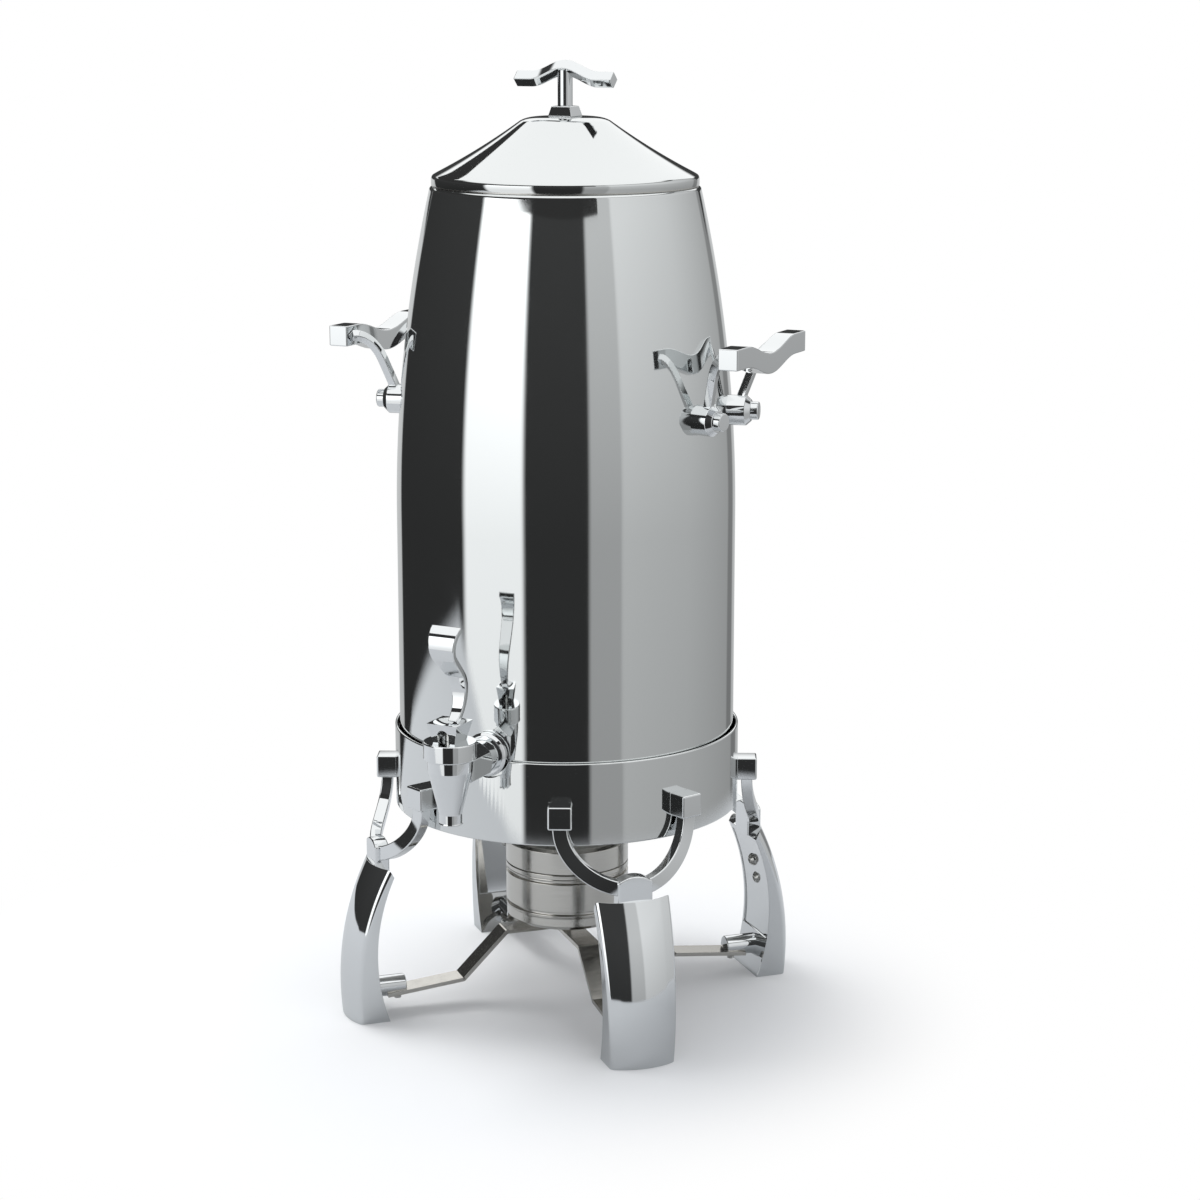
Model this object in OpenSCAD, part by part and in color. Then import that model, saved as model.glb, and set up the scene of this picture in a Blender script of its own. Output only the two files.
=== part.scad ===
// Coffee urn that lifts out of a four-legged stand with a fuel burner under it.
// Millimetres. The origin is on the urn's axis at floor level, +Z is up,
// the tap points to -Y and the two side handles point to +X and -X.

/* [Urn body] */
// Outer radius of the urn's straight part
body_r = 125.8; // [112:0.1:136]
// Height of the urn body, from its base to its top edge
body_h = 448; // [380:1:480]
// Height of the straight part, above which the wall draws in
straight_h = 207; // [170:1:235]
// Radius of the long curve that draws the shoulder in
shoulder_r = 1077; // [1000:1:1400]
// Thickness of the outer shell
shell_t = 1.2; // [0.8:0.1:1.6]
// Air gap between the outer shell and the inner vessel
air_gap = 7; // [6:0.1:9]
// Thickness of the inner vessel
vessel_t = 1; // [0.8:0.1:1.5]
// Radius of the rounded top edge
top_edge_r = 3; // [2:0.1:4]
// Radial width of the ring that closes the top, from the top edge to the mouth
mouth_ring_w = 5.5; // [4.5:0.1:7]
// Thickness of the top ring and of its lip
mouth_ring_t = 1.2; // [0.8:0.1:1.6]
// Depth of the mouth's lip
mouth_lip_h = 10; // [6:0.5:14]
// Radial width of the flat ring under the urn
base_ring_w = 14; // [8:0.5:16]
// Thickness of the flat ring under the urn
base_ring_t = 2; // [1.5:0.1:3]

/* [Lid] */
// Height of the lid's upright rim
lid_rim_h = 6.5; // [5:0.1:9]
// Height of the lid's cone, from the rim to the flat top
lid_cone_h = 42; // [34:0.5:52]
// Radius where the cone meets the shoulder of the flat top
lid_top_r = 33; // [28:0.5:38]
// Sag of the cone's slightly hollow side
lid_sag = 1.4; // [0.8:0.1:2]
// Thickness of the lid's sheet
lid_t = 1.2; // [0.8:0.1:1.5]
// Depth of the collar that enters the mouth
lid_collar_h = 15; // [10:0.5:20]
// Clearance between the collar and the mouth
lid_clear = 1; // [0.6:0.1:1.5]
// Dark seam under the lid's rim, which the collar's flange fills
lid_seam = 1; // [0.8:0.1:1.5]

/* [Knob] */
// Side of the knob's square base at the lid
knob_base_w = 19; // [16:0.5:24]
// Side of the knob's square base at its top
knob_base_top_w = 15; // [12.5:0.5:15.5]
// Height of the knob's square base
knob_base_h = 7.5; // [5:0.5:10]
// Radius of the knob's stem
knob_stem_r = 5; // [4:0.1:6]
// Height of the stem between the base and the bar
knob_stem_h = 21; // [16:0.5:28]
// Length of the wavy bar
knob_bar_l = 78; // [60:1:90]
// Height of the bar's section, which stands on its edge
knob_bar_h = 12; // [10:0.5:14]
// Width of the bar's section
knob_bar_w = 13; // [10.5:0.5:15]
// Drop of the bar's ends below its middle
knob_bar_drop = 8; // [4:0.5:10]
// Length of each flat end of the bar
knob_bar_flat = 12; // [8:0.5:14]
// Radius of the screw that holds the knob from inside the lid
knob_screw_r = 2.5; // [2:0.1:3]

/* [Side handles] */
// Height of the handle hubs above the urn's base
hub_rise = 287.5; // [250:0.5:300]
// Angle of each hub from the handle's middle, in degrees
hub_angle = 12.7; // [11:0.1:14]
// Radius of a hub
hub_r = 10.5; // [9.5:0.1:12]
// Length of a hub
hub_len = 16; // [14:0.5:18]
// Length and depth of the chamfer at a hub's outer end
hub_chamfer = 3.5; // [2:0.1:4]
// Radius of a cap screw's round head
cap_r = 6.5; // [5.5:0.1:6.8]
// Length of a cap screw's round head
cap_len = 6; // [4:0.5:8]
// Radius of a cap screw's shank
cap_shank_r = 3; // [2.5:0.1:4]
// Diagonal of an arm's square section, which stands on its edge
arm_diag = 8.6; // [7:0.1:9.6]
// Rise of the grip's ends above the hubs
grip_rise = 49; // [44:0.5:56]
// Length of the grip
grip_l = 126; // [116:1:140]
// Side of the grip's square section
grip_w = 15; // [12:0.5:17]
// Distance from the urn's straight wall to the grip's inner face
grip_reach = 23.5; // [20:0.5:28]
// Dip of the grip's middle below its ends
grip_dip = 9; // [6:0.5:12]
// Length of each flat end of the grip
grip_flat = 18; // [14:0.5:22]

/* [Tap] */
// Height of the tap's shank above the urn's base
tap_rise = 51.5; // [48:0.5:56]
// Distance from the urn's wall to the axis of the valve
tap_reach = 57.2; // [52:0.2:64]
// Outer radius of the valve's straight part
valve_r = 15.8; // [15:0.1:17]
// Outer radius of the outlet tip
outlet_r = 8.2; // [7.5:0.1:9.5]
// Bore radius of the outlet
outlet_bore_r = 5.5; // [4:0.1:6]
// Height of the outlet tip
outlet_h = 7.5; // [5:0.5:10]
// Height of the valve's cone
valve_cone_h = 31; // [28:0.5:36]
// Height of the valve's straight part below the bonnet
valve_straight_h = 9; // [7:0.5:11]
// Outer radius of the bonnet
bonnet_r = 18.4; // [17.5:0.1:19]
// Height of the bonnet's underside above the tap's axis
bonnet_rise = 10.7; // [10:0.1:12]
// Height of the bonnet
bonnet_h = 12; // [10:0.5:14]
// Corner radius of the six-sided barrel behind the valve
rear_r = 15; // [14:0.1:15.6]
// Outer radius of the threaded shank
shank_r = 7; // [6:0.1:7.5]
// Bore radius of the shank
shank_bore_r = 5; // [4:0.1:5.5]
// Outer radius of the spacer between flange and barrel
spacer_r = 12; // [10:0.1:12.6]
// Radius of the flange against the urn
flange_r = 15.6; // [14:0.1:16.5]
// Thickness of the flange
flange_t = 5; // [4:0.1:6]
// Thickness of each gasket at its middle
gasket_t = 0.9; // [0.6:0.1:1.4]
// Length of the spacer
spacer_len = 12.5; // [11:0.5:15]
// Radius of the valve's stem
stem_r = 3.5; // [3:0.1:3.6]
// Lift of the stem when the lever is pulled right forward
stem_lift = 4.3; // [4.2:0.05:4.6]

/* [Tap lever] */
// Width of the lever's square crown at its foot
crown_w = 17; // [16.5:0.5:18]
// Width of the lever's square crown at its top
crown_top_w = 24; // [22:0.2:26]
// Height of the crown
crown_h = 14; // [13.5:0.5:16]
// Width of the arch through the crown
crown_arch_w = 9; // [8.4:0.2:9.6]
// Height of the blade above the crown
blade_h = 67; // [64:0.5:74]
// Width of the blade at its foot
blade_foot_w = 7.5; // [6:0.5:10]
// Width of the blade at its tip
blade_tip_w = 23; // [18:0.2:26]
// Thickness of the blade
blade_t = 4.4; // [3.5:0.1:5.5]
// Radius of the blade's lower curve
blade_low_r = 22; // [20:0.5:25]
// Radius of the blade's upper curve
blade_high_r = 13; // [12:0.5:15]

/* [Stand ring] */
// Height of the ring's lower edge above the legs' tops
band_rise = 36; // [30:1:56]
// Height of the ring
band_h = 60; // [54:1:62]
// Thickness of the ring
band_t = 1.2; // [1:0.1:2]
// Gap between the urn and the ring
body_gap = 2; // [1:0.1:3]
// Height of the ledge's top above the ring's lower edge
ledge_rise = 13; // [11:0.5:15]
// Radial width of the ledge
ledge_w = 18; // [14:0.5:22]
// Thickness of the ledge
ledge_t = 2.5; // [2:0.1:3]
// Clearance around the tap's flange in the ring's notch
notch_clear = 2.2; // [1:0.1:4]

/* [Blocks and yokes] */
// Width of a square block on the ring
block_w = 17.5; // [15:0.5:19]
// Depth of a block, from the ring outwards
block_d = 15; // [13:0.5:17]
// Height of a block
block_h = 17; // [15:0.5:20]
// Height of a block's underside above the ring's lower edge
block_rise = 15.5; // [14:0.5:18]
// Angle of each block from the middle of its leg, in degrees
block_angle = 20.6; // [19.5:0.1:21.5]
// Width of a yoke's bar, seen from the front
yoke_w = 10.8; // [8:0.2:12]
// Depth of a yoke's bar
yoke_d = 8.5; // [7:0.5:10]
// Depth of a yoke's curve below the blocks
yoke_drop = 43.5; // [40:0.5:47]
// Width of the saddle on a leg
saddle_w = 26; // [24:0.5:30]
// Height of the saddle
saddle_h = 24; // [22:0.5:27]
// Depth of the saddle
saddle_d = 11; // [9:0.5:13]

/* [Legs] */
// Height of a leg
leg_h = 119; // [115:0.5:121]
// Width of a leg at its top
leg_top_w = 57; // [52:0.5:62]
// Width of a leg at its foot
leg_foot_w = 49; // [44:0.5:51]
// Distance from the ring's outer face to the leg's outermost line
leg_reach = 49; // [44:0.5:55]
// Radius of a leg's outer curve, seen from the side
leg_arc_r = 216; // [200:1:240]
// Height of the leg's outermost line
leg_bulge_z = 25; // [20:0.5:30]
// Radius across a leg's rounded front
leg_crown_r = 52; // [45:0.5:70]
// Distance from the leg's outermost line in to its flanges' inner edge
leg_flange_d = 21; // [19:0.5:24]
// Radius of the flanges' inner edge, seen from the side
leg_inner_arc_r = 150; // [140:1:165]
// Height of the inner edge's outermost point
leg_inner_z = 52; // [46:0.5:58]
// Depth of the shallow recess in a leg's inner face
recess_d = 2; // [1.5:0.1:2.5]
// Width of the rim beside the recess
recess_rim = 5; // [4:0.5:8]
// Height of the plain foot below the recess
foot_h = 31; // [30:0.5:36]
// Drop of a leg's top edge from its front to its flanges
leg_top_drop = 6; // [3:0.5:9]
// Thickness of the yoke's tongue, which enters the leg
tongue_t = 6; // [5:0.1:6.4]
// Width of the yoke's tongue
tongue_w = 18; // [15:0.5:21]
// Length of the yoke's tongue
tongue_l = 47; // [42:0.5:50]
// Radius of the leg screws
leg_screw_r = 2; // [1.5:0.1:2.4]

/* [Base straps] */
// Width of a strap
strap_w = 18; // [15:0.5:22]
// Thickness of a strap
strap_t = 3; // [2.5:0.1:3.5]
// Height of the straps' low run above the floor
strap_z = 13; // [11.5:0.1:15]
// Distance from the axis to where a strap starts to rise
strap_foot_r = 82; // [76:0.5:90]
// Distance from the axis to where a strap's raised part starts
strap_head_r = 55; // [52:0.5:60]
// Height of the raised crossing above the floor
strap_top_z = 56; // [52:0.5:60]
// Radius of the boss between strap and leg
boss_r = 8.5; // [8:0.1:9.5]
// Length of the boss that shows inside a leg
boss_len = 24; // [20:0.5:28]

/* [Fuel holder] */
// Outer radius of the fuel holder
fuel_r = 46; // [42:0.5:50]
// Height of the dish that the holder stands in
dish_h = 10.7; // [9:0.1:13]
// Height of the holder's cup
cup_h = 30.5; // [27:0.5:34]
// Height of the holder's cover
cover_h = 21.5; // [19:0.5:24]
// Thickness of the holder's sheet
fuel_t = 1; // [0.8:0.1:1.2]
// Radius of the opening in the cover
flame_r = 30; // [24:0.5:34]
// Radius of the fuel can
can_r = 40; // [36:0.5:40.5]

/* [Hidden] */
$fn = 96;
// Finer count for circles as wide as the urn
wide_fn = 360;

// One overrun serves all cuts
over = 1;
// Clearance between pieces of different bodies
gap = 0.3;
// Clearance of a sliding stem in its hole
slide_gap = 0.35;
// Counts of points along the curves
curve_n = 24;
wave_n = 28;
// Directions of the four legs, from -Y towards +X
LEG_FR = 45;
LEG_FL = -45;
LEG_RR = 135;
LEG_RL = -135;
LEGS = [LEG_FR, LEG_RR, LEG_RL, LEG_FL];

// Derived sizes of the stand
band_in_r = body_r + body_gap;
band_r = band_in_r + band_t;
band_z = leg_h + band_rise;
band_top = band_z + band_h;
ledge_z = band_z + ledge_rise;
block_z = band_z + block_rise;
block_out_r = band_r + block_d;
block_mid_r = band_r + block_d/2;
leg_out_r = band_r + leg_reach;
leg_in_r = leg_out_r - leg_flange_d;
// Place of the blocks in a leg's own directions: along the tangent and outwards
block_side = block_mid_r*sin(block_angle);
block_out = block_mid_r*cos(block_angle);
// Depth to which a yoke's bar goes up into its block
yoke_root = block_h/3;
block_screw_r = leg_screw_r;
block_screw_head_h = leg_screw_r;

// Derived sizes of the urn
urn_z = ledge_z;
body_top = urn_z + body_h;
shoulder_z = urn_z + straight_h;
vessel_in_r = body_r - shell_t - air_gap - vessel_t;
mouth_out_r = shell_out(body_top) - top_edge_r - shell_t;
mouth_r = mouth_out_r - mouth_ring_w;
tap_z = urn_z + tap_rise;
wall_hole_clear = gap;
floor_z = tap_z - shank_r - wall_hole_clear - 1.5*flange_t;

// Outer and inner radius of the shell at height z
function shell_out(z) = z <= shoulder_z ? body_r
    : body_r - shoulder_r + sqrt(pow(shoulder_r, 2) - pow(z - shoulder_z, 2));
function arc_step(a, b, n) = [for (i = [0:n]) a + (b - a)*i/n];
// Points up a wall that stands inwards of the shell's outer face
function wall_line(inset, low, high) = low >= shoulder_z ? []
    : concat([[shell_out(low) - inset, low]],
             [for (z = arc_step(shoulder_z, high, curve_n)) [shell_out(z) - inset, z]]);
function flip(list) = [for (i = [len(list)-1:-1:0]) list[i]];

// Solid of the urn's outer shape, for trimming what seats on it
module body_blank(inset = 0) {
    rotate_extrude($fn = wide_fn) polygon(concat([[0, urn_z]], wall_line(inset, urn_z, body_top), [[0, body_top]]));
}

// Places children with their X axis pointing outwards at angle a from -Y
module radial(a) { rotate([0, 0, a - 90]) children(); }
// Cylinder that lies along the local X axis, from x1 to x2 at height z
module along(x1, x2, r, z = 0, y = 0) {
    translate([x1, y, z]) rotate([0, 90, 0]) cylinder(h = x2 - x1, r = r);
}
// Outline in the radial plane (outwards, up), w thick
module side_plate(pts, w) { rotate([90, 0, 0]) translate([0, 0, -w/2]) linear_extrude(w) polygon(pts); }
// Outline seen from the front (sideways, up), from x1 out to x2
module front_plate(pts, x1, x2) {
    translate([x1, 0, 0]) rotate([90, 0, 90]) linear_extrude(x2 - x1) polygon(pts);
}
// Square frustum on the plane z
module square_frustum(low_w, high_w, h, z) {
    pts = [[-low_w/2, z], [low_w/2, z], [high_w/2, z + h], [-high_w/2, z + h]];
    wide = 2*max(low_w, high_w);
    intersection() {
        side_plate(pts, wide);
        rotate([0, 0, 90]) side_plate(pts, wide);
    }
}
// Ring turned about Z
module ring(r1, r2, z1, z2) {
    rotate_extrude($fn = wide_fn) polygon([[r1, z1], [r2, z1], [r2, z2], [r1, z2]]);
}
// Skin through rings of points, which all have the same count and turn the same way
module skin(rings) {
    n = len(rings[0]);
    m = len(rings);
    polyhedron(
        points = [for (ring_pts = rings) each ring_pts],
        faces = concat(
            [[for (j = [0:n-1]) j]],
            [for (i = [0:m-2], j = [0:n-1])
                [i*n + j, (i+1)*n + j, (i+1)*n + (j+1)%n, i*n + (j+1)%n]],
            [[for (j = [n-1:-1:0]) (m-1)*n + j]]
        ),
        convexity = 6
    );
}

// Stand ring with a notch for the tap
module stand_band() {
    notch_r = flange_r + notch_clear;
    color("silver") difference() {
        ring(band_in_r, band_r, band_z, band_top);
        radial(0) along(body_r/2, band_r + over, notch_r, tap_z);
        radial(0) translate([body_r/2, -notch_r, tap_z])
            cube([band_r, 2*notch_r, band_top]);
        for (a = LEGS, s = [-1, 1]) radial(a + s*block_angle)
            along(band_in_r - over, band_r + over, block_screw_r, block_z + block_h/2);
    }
}
// Ledge inside the ring that the urn stands on
module support_ledge() {
    color("gray") ring(band_in_r - ledge_w, band_in_r, ledge_z - ledge_t, ledge_z);
}
// Eight square blocks, each hollowed for a yoke's end and drilled for its screw
module band_blocks() {
    color("silver") for (a = LEGS, s = [-1, 1]) difference() {
        radial(a + s*block_angle) translate([band_in_r, -block_w/2, block_z])
            cube([block_d + band_t, block_w, block_h]);
        cylinder(h = band_top, r = band_r, $fn = wide_fn);
        radial(a + s*block_angle)
            along(band_r - over, block_mid_r, block_screw_r, block_z + block_h/2);
        yoke_end(a, s);
    }
}
// Screws from inside the ring into the blocks
module block_screws() {
    color("dimgray") for (a = LEGS, s = [-1, 1]) radial(a + s*block_angle) {
        z = block_z + block_h/2;
        along(band_in_r - over, block_mid_r, block_screw_r, z);
        intersection() {
            along(band_in_r - block_screw_head_h, band_r, 2*block_screw_r, z);
            cylinder(h = band_top, r = band_in_r, $fn = wide_fn);
        }
    }
}

// Half ring of the yoke, which swings outwards as it drops to the saddle
saddle_mid_r = leg_side_out(leg_h) - saddle_d/2 - recess_d;
function yoke_ring(a, w, d) = let (
        side = block_side*cos(a),
        up = block_z - yoke_drop*sin(a),
        out = block_out + (saddle_mid_r - block_out)*pow(sin(a), 2),
        turn = block_angle*cos(a),
        run = unit([2*(saddle_mid_r - block_out)*sin(a)*cos(a), -block_side*sin(a), -yoke_drop*cos(a)]),
        wide = unit(cross([cos(turn), sin(turn), 0], run)),
        deep = cross(run, wide)
    ) [for (k = [[-1, -1], [1, -1], [1, 1], [-1, 1]])
        [out, side, up] + wide*k[0]*w/2 + deep*k[1]*d/2];
module yoke_bow() {
    skin([for (a = arc_step(0, 180, wave_n)) yoke_ring(a, yoke_w, yoke_d)]);
}
// Straight end of a yoke's bar in a block
module yoke_end(a, s) {
    radial(a + s*block_angle) translate([block_mid_r - yoke_d/2, -yoke_w/2, block_z])
        cube([yoke_d, yoke_w, yoke_root]);
}
// Saddle with a rounded top, in the leg's hollow
module saddle() {
    low = leg_h - saddle_h/4;
    top = low + saddle_h;
    crown = saddle_h/6;
    front_plate(concat(
        [[-saddle_w/2, low], [saddle_w/2, low]],
        [for (t = arc_step(1, -1, curve_n/2))
            [t*saddle_w/2, top - crown*pow(t, 2)]]),
        saddle_mid_r - saddle_d/2, saddle_mid_r + saddle_d/2);
}
// Tongue that runs down inside the leg: its middle line from the saddle to its low end
tongue_high_z = leg_h - saddle_h/4;
tongue_low_z = tongue_high_z - tongue_l;
tongue_high_r = (leg_side_out(tongue_high_z) + leg_side_in(tongue_high_z))/2 + recess_d*0.75;
tongue_low_r = (leg_side_out(tongue_low_z) + leg_side_in(tongue_low_z))/2 + recess_d*0.25;
tongue_tilt = atan2(tongue_low_r - tongue_high_r, tongue_high_z - tongue_low_z);
module tongue() {
    side_plate([
        [tongue_low_r + tongue_t/2, tongue_low_z], [tongue_high_r + tongue_t/2, tongue_high_z + recess_d],
        [tongue_high_r - tongue_t/2, tongue_high_z + recess_d], [tongue_low_r - tongue_t/2, tongue_low_z]],
        tongue_w);
}
// Places children on the tongue's middle line, at a share of its length from its low end
module on_tongue(part_share) {
    translate([
        tongue_low_r + (tongue_high_r - tongue_low_r)*part_share, 0,
        tongue_low_z + (tongue_high_z - tongue_low_z)*part_share])
        rotate([0, -tongue_tilt, 0]) children();
}
TONGUE_SCREW_SHARES = [0.19, 0.51];
// Seat of a leg screw's head, inwards of the tongue's middle line, and the head's size
screw_seat = tongue_t/2 + 0.7*recess_d;
screw_head_r = 2.3*leg_screw_r;
screw_head_h = 2.2*leg_screw_r;
module yoke(a) {
    color("silver") difference() {
        union() {
            radial(a) yoke_bow();
            yoke_end(a, 1);
            yoke_end(a, -1);
            radial(a) saddle();
            radial(a) tongue();
        }
        radial(a) for (k = TONGUE_SCREW_SHARES) on_tongue(k)
            along(-tongue_t, tongue_t, leg_screw_r);
        for (s = [-1, 1]) radial(a + s*block_angle)
            along(band_r, block_mid_r, block_screw_r, block_z + block_h/2);
    }
}
module yoke_front_right() { yoke(LEG_FR); }
module yoke_front_left() { yoke(LEG_FL); }
module yoke_rear_right() { yoke(LEG_RR); }
module yoke_rear_left() { yoke(LEG_RL); }

// Radius of a leg's outer line and of its inner edge at height z
function leg_side_out(z) = leg_out_r - leg_arc_r
    + sqrt(pow(leg_arc_r, 2) - pow(z - leg_bulge_z, 2));
function leg_side_in(z) = leg_in_r - leg_inner_arc_r
    + sqrt(pow(leg_inner_arc_r, 2) - pow(z - leg_inner_z, 2));
// Ring with a leg's rounded front, turned about the centre of the leg's side curve
module leg_front(inset) {
    half = leg_top_w/2 + over;
    translate([leg_out_r - leg_arc_r, 0, leg_bulge_z]) rotate([90, 0, 0]) rotate_extrude() polygon(concat(
        [[leg_arc_r/2, -half]],
        [for (t = arc_step(-half, half, curve_n))
            [leg_arc_r - inset - leg_crown_r + sqrt(pow(leg_crown_r, 2) - pow(t, 2)), t]],
        [[leg_arc_r/2, half]]));
}
module leg_blank() {
    intersection() {
        leg_front(0);
        side_plate(concat(
            [[leg_out_r + over, 0], [leg_out_r + over, leg_h], [leg_side_out(leg_h), leg_h]],
            [for (z = arc_step(leg_h - leg_top_drop, 0, curve_n)) [leg_side_in(z), z]]),
            2*leg_top_w);
        front_plate([
            [-leg_foot_w/2, 0], [leg_foot_w/2, 0],
            [leg_top_w/2, leg_h], [-leg_top_w/2, leg_h]], body_r/2, leg_out_r + over);
    }
}
// Shallow recess in a leg's inner face, open at the top
module leg_recess() {
    low_half = leg_foot_w/2 - recess_rim;
    high_half = leg_top_w/2 - recess_rim;
    steps = [for (z = arc_step(foot_h, leg_h + over, curve_n)) [leg_side_in(z) + recess_d, z]];
    intersection() {
        side_plate(concat([[body_r/2, leg_h + over], [body_r/2, foot_h]], steps), 2*leg_top_w);
        front_plate([
            [-low_half, foot_h], [low_half, foot_h],
            [high_half, leg_h + over], [-high_half, leg_h + over]], body_r/2, leg_out_r);
    }
}
module leg(a) {
    color("silver") difference() {
        radial(a) leg_blank();
        radial(a) leg_recess();
        radial(a) saddle();
        radial(a) tongue();
        radial(a) for (k = TONGUE_SCREW_SHARES) on_tongue(k) {
            along(-screw_seat - over, 0, leg_screw_r);
            along(-screw_seat - 2*screw_head_h, -screw_seat, screw_head_r);
        }
        radial(a) along(boss_in_r, boss_in_r + boss_len + boss_spigot, boss_r/2, boss_z);
    }
}
module leg_front_right() { leg(LEG_FR); }
module leg_front_left() { leg(LEG_FL); }
module leg_rear_right() { leg(LEG_RR); }
module leg_rear_left() { leg(LEG_RL); }
// Screws that hold the yokes' tongues in the legs
module leg_screws() {
    color("dimgray") for (a = LEGS, k = TONGUE_SCREW_SHARES) radial(a) on_tongue(k) {
        along(-screw_seat, tongue_t/2, leg_screw_r);
        along(-screw_seat - screw_head_h, -screw_seat, screw_head_r);
    }
}

// Bosses on the legs' inner faces that hold the straps' ends
boss_z = strap_z + boss_r*0.8;
boss_spigot = 2*boss_r;
boss_in_r = leg_side_in(boss_z) - boss_len;
strap_end_r = boss_in_r + boss_len*0.65;
boss_screw_r = boss_r/5;
boss_screw_head_r = 1.6*boss_screw_r;
boss_screw_mid_r = boss_in_r + boss_len*0.25;
module strap_bosses() {
    color("silver") for (a = LEGS) radial(a) difference() {
        union() {
            difference() {
                along(boss_in_r, boss_in_r + boss_len + boss_r, boss_r, boss_z);
                leg_blank();
            }
            along(boss_in_r, boss_in_r + boss_len + boss_spigot, boss_r/2, boss_z);
        }
        translate([boss_in_r - over, -strap_w, strap_z])
            cube([strap_end_r - boss_in_r + over, 2*strap_w, strap_t]);
        translate([boss_screw_mid_r, 0, boss_z - boss_r])
            cylinder(h = boss_r*1.4, r = boss_screw_r);
    }
}
// Screws from below through each boss and strap end
module strap_screws() {
    color("dimgray") for (a = LEGS) radial(a) translate([boss_screw_mid_r, 0, boss_z - boss_r]) {
        cylinder(h = boss_r*1.4, r = boss_screw_r);
        translate([0, 0, -boss_screw_r]) cylinder(h = boss_screw_r, r = boss_screw_head_r);
    }
}
// One hat-shaped strap from leg to leg, its raised middle at height top
module strap(a, top) {
    low = strap_z;
    half = [[strap_end_r, low], [strap_foot_r, low], [strap_head_r, top],
            [strap_head_r, top + strap_t], [strap_foot_r + strap_t/2, low + strap_t], [strap_end_r, low + strap_t]];
    pts = concat(
        [[-strap_head_r + strap_t/2, top], [strap_head_r - strap_t/2, top]],
        [[strap_foot_r, low], [strap_end_r, low], [strap_end_r, low + strap_t],
         [strap_foot_r + strap_t/2, low + strap_t], [strap_head_r + strap_t/2, top + strap_t]],
        [[-strap_head_r - strap_t/2, top + strap_t], [-strap_foot_r - strap_t/2, low + strap_t],
         [-strap_end_r, low + strap_t], [-strap_end_r, low], [-strap_foot_r, low]]);
    color("silver") difference() {
        radial(a) side_plate(pts, strap_w);
        translate([0, 0, top - over]) cylinder(h = strap_t + 2*over, r = rivet_r);
        for (s = [0, 180]) radial(a + s) translate([boss_screw_mid_r, 0, low - over])
            cylinder(h = strap_t + 2*over, r = boss_screw_r);
    }
}
rivet_r = strap_w/6;
module lower_strap() { strap(LEG_FR, strap_top_z); }
module upper_strap() { strap(LEG_FL, strap_top_z + strap_t); }
// Rivet that joins the straps and the dish at the crossing
dish_z = strap_top_z + 2*strap_t;
module strap_rivet() {
    color("dimgray") {
        translate([0, 0, strap_top_z]) cylinder(h = 2*strap_t + fuel_t, r = rivet_r);
        translate([0, 0, strap_top_z - fuel_t]) cylinder(h = fuel_t, r = 2*rivet_r);
        translate([0, 0, dish_z + fuel_t]) cylinder(h = fuel_t, r = 2*rivet_r);
    }
}

// Dish on the straps, with a rim that centres the cup
cup_seat_z = dish_z + dish_h;
cup_foot_r = fuel_r - 2*fuel_t;
cup_foot_z = dish_z + 3*fuel_t;
module fuel_dish() {
    color("lightgray") difference() {
        rotate_extrude() polygon([
            [0, dish_z], [fuel_r - 2*fuel_t, dish_z], [fuel_r, dish_z + 2*fuel_t],
            [fuel_r, cup_seat_z], [fuel_r - fuel_t, cup_seat_z],
            [fuel_r - fuel_t, dish_z + 2*fuel_t], [fuel_r - 2*fuel_t, dish_z + fuel_t], [0, dish_z + fuel_t]]);
        translate([0, 0, dish_z - over]) cylinder(h = fuel_t + 2*over, r = rivet_r);
    }
}
// Cup that holds the fuel can: a foot inside the dish and a bead that rests on its rim
cover_seat_z = cup_seat_z + cup_h;
module fuel_cup() {
    in_foot_r = fuel_r - fuel_t - gap;
    color("lightgray") rotate_extrude() polygon([
        [0, cup_foot_z], [in_foot_r, cup_foot_z], [in_foot_r, cup_seat_z],
        [fuel_r, cup_seat_z], [fuel_r, cover_seat_z - fuel_t], [fuel_r - fuel_t, cover_seat_z - fuel_t],
        [fuel_r - fuel_t, cover_seat_z + 3*fuel_t], [fuel_r - 2*fuel_t, cover_seat_z + 3*fuel_t],
        [fuel_r - 2*fuel_t, cup_foot_z + fuel_t], [0, cup_foot_z + fuel_t]]);
}
// Fuel can with a round mouth in its lid
can_z = cup_foot_z + fuel_t;
can_h = cup_h + dish_h - 4*fuel_t;
can_mouth_r = can_r/2;
module fuel_can() {
    wall = fuel_t/2;
    color("goldenrod") rotate_extrude() polygon([
        [0, can_z], [can_r, can_z], [can_r, can_z + can_h],
        [can_r - fuel_t, can_z + can_h], [can_r - fuel_t, can_z + can_h - 2*fuel_t],
        [can_mouth_r, can_z + can_h - 2*fuel_t], [can_mouth_r, can_z + can_h - 2*fuel_t - wall],
        [can_r - wall, can_z + can_h - 2*fuel_t - wall], [can_r - wall, can_z + can_h*0.75],
        [0, can_z + can_h*0.75]]);
}
// Cover with a round opening for the flame, dropped over the cup's rim
module fuel_cover() {
    low = cover_seat_z;
    top = cover_seat_z + cover_h;
    color("lightgray") rotate_extrude() polygon([
        [fuel_r - fuel_t + gap, low - fuel_t + gap], [fuel_r, low - fuel_t + gap], [fuel_r, top - 2*fuel_t],
        [fuel_r - 2*fuel_t, top], [flame_r, top], [flame_r, top - fuel_t],
        [fuel_r - 2.5*fuel_t, top - fuel_t], [fuel_r - fuel_t + gap, top - 2.5*fuel_t]]);
}

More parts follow.
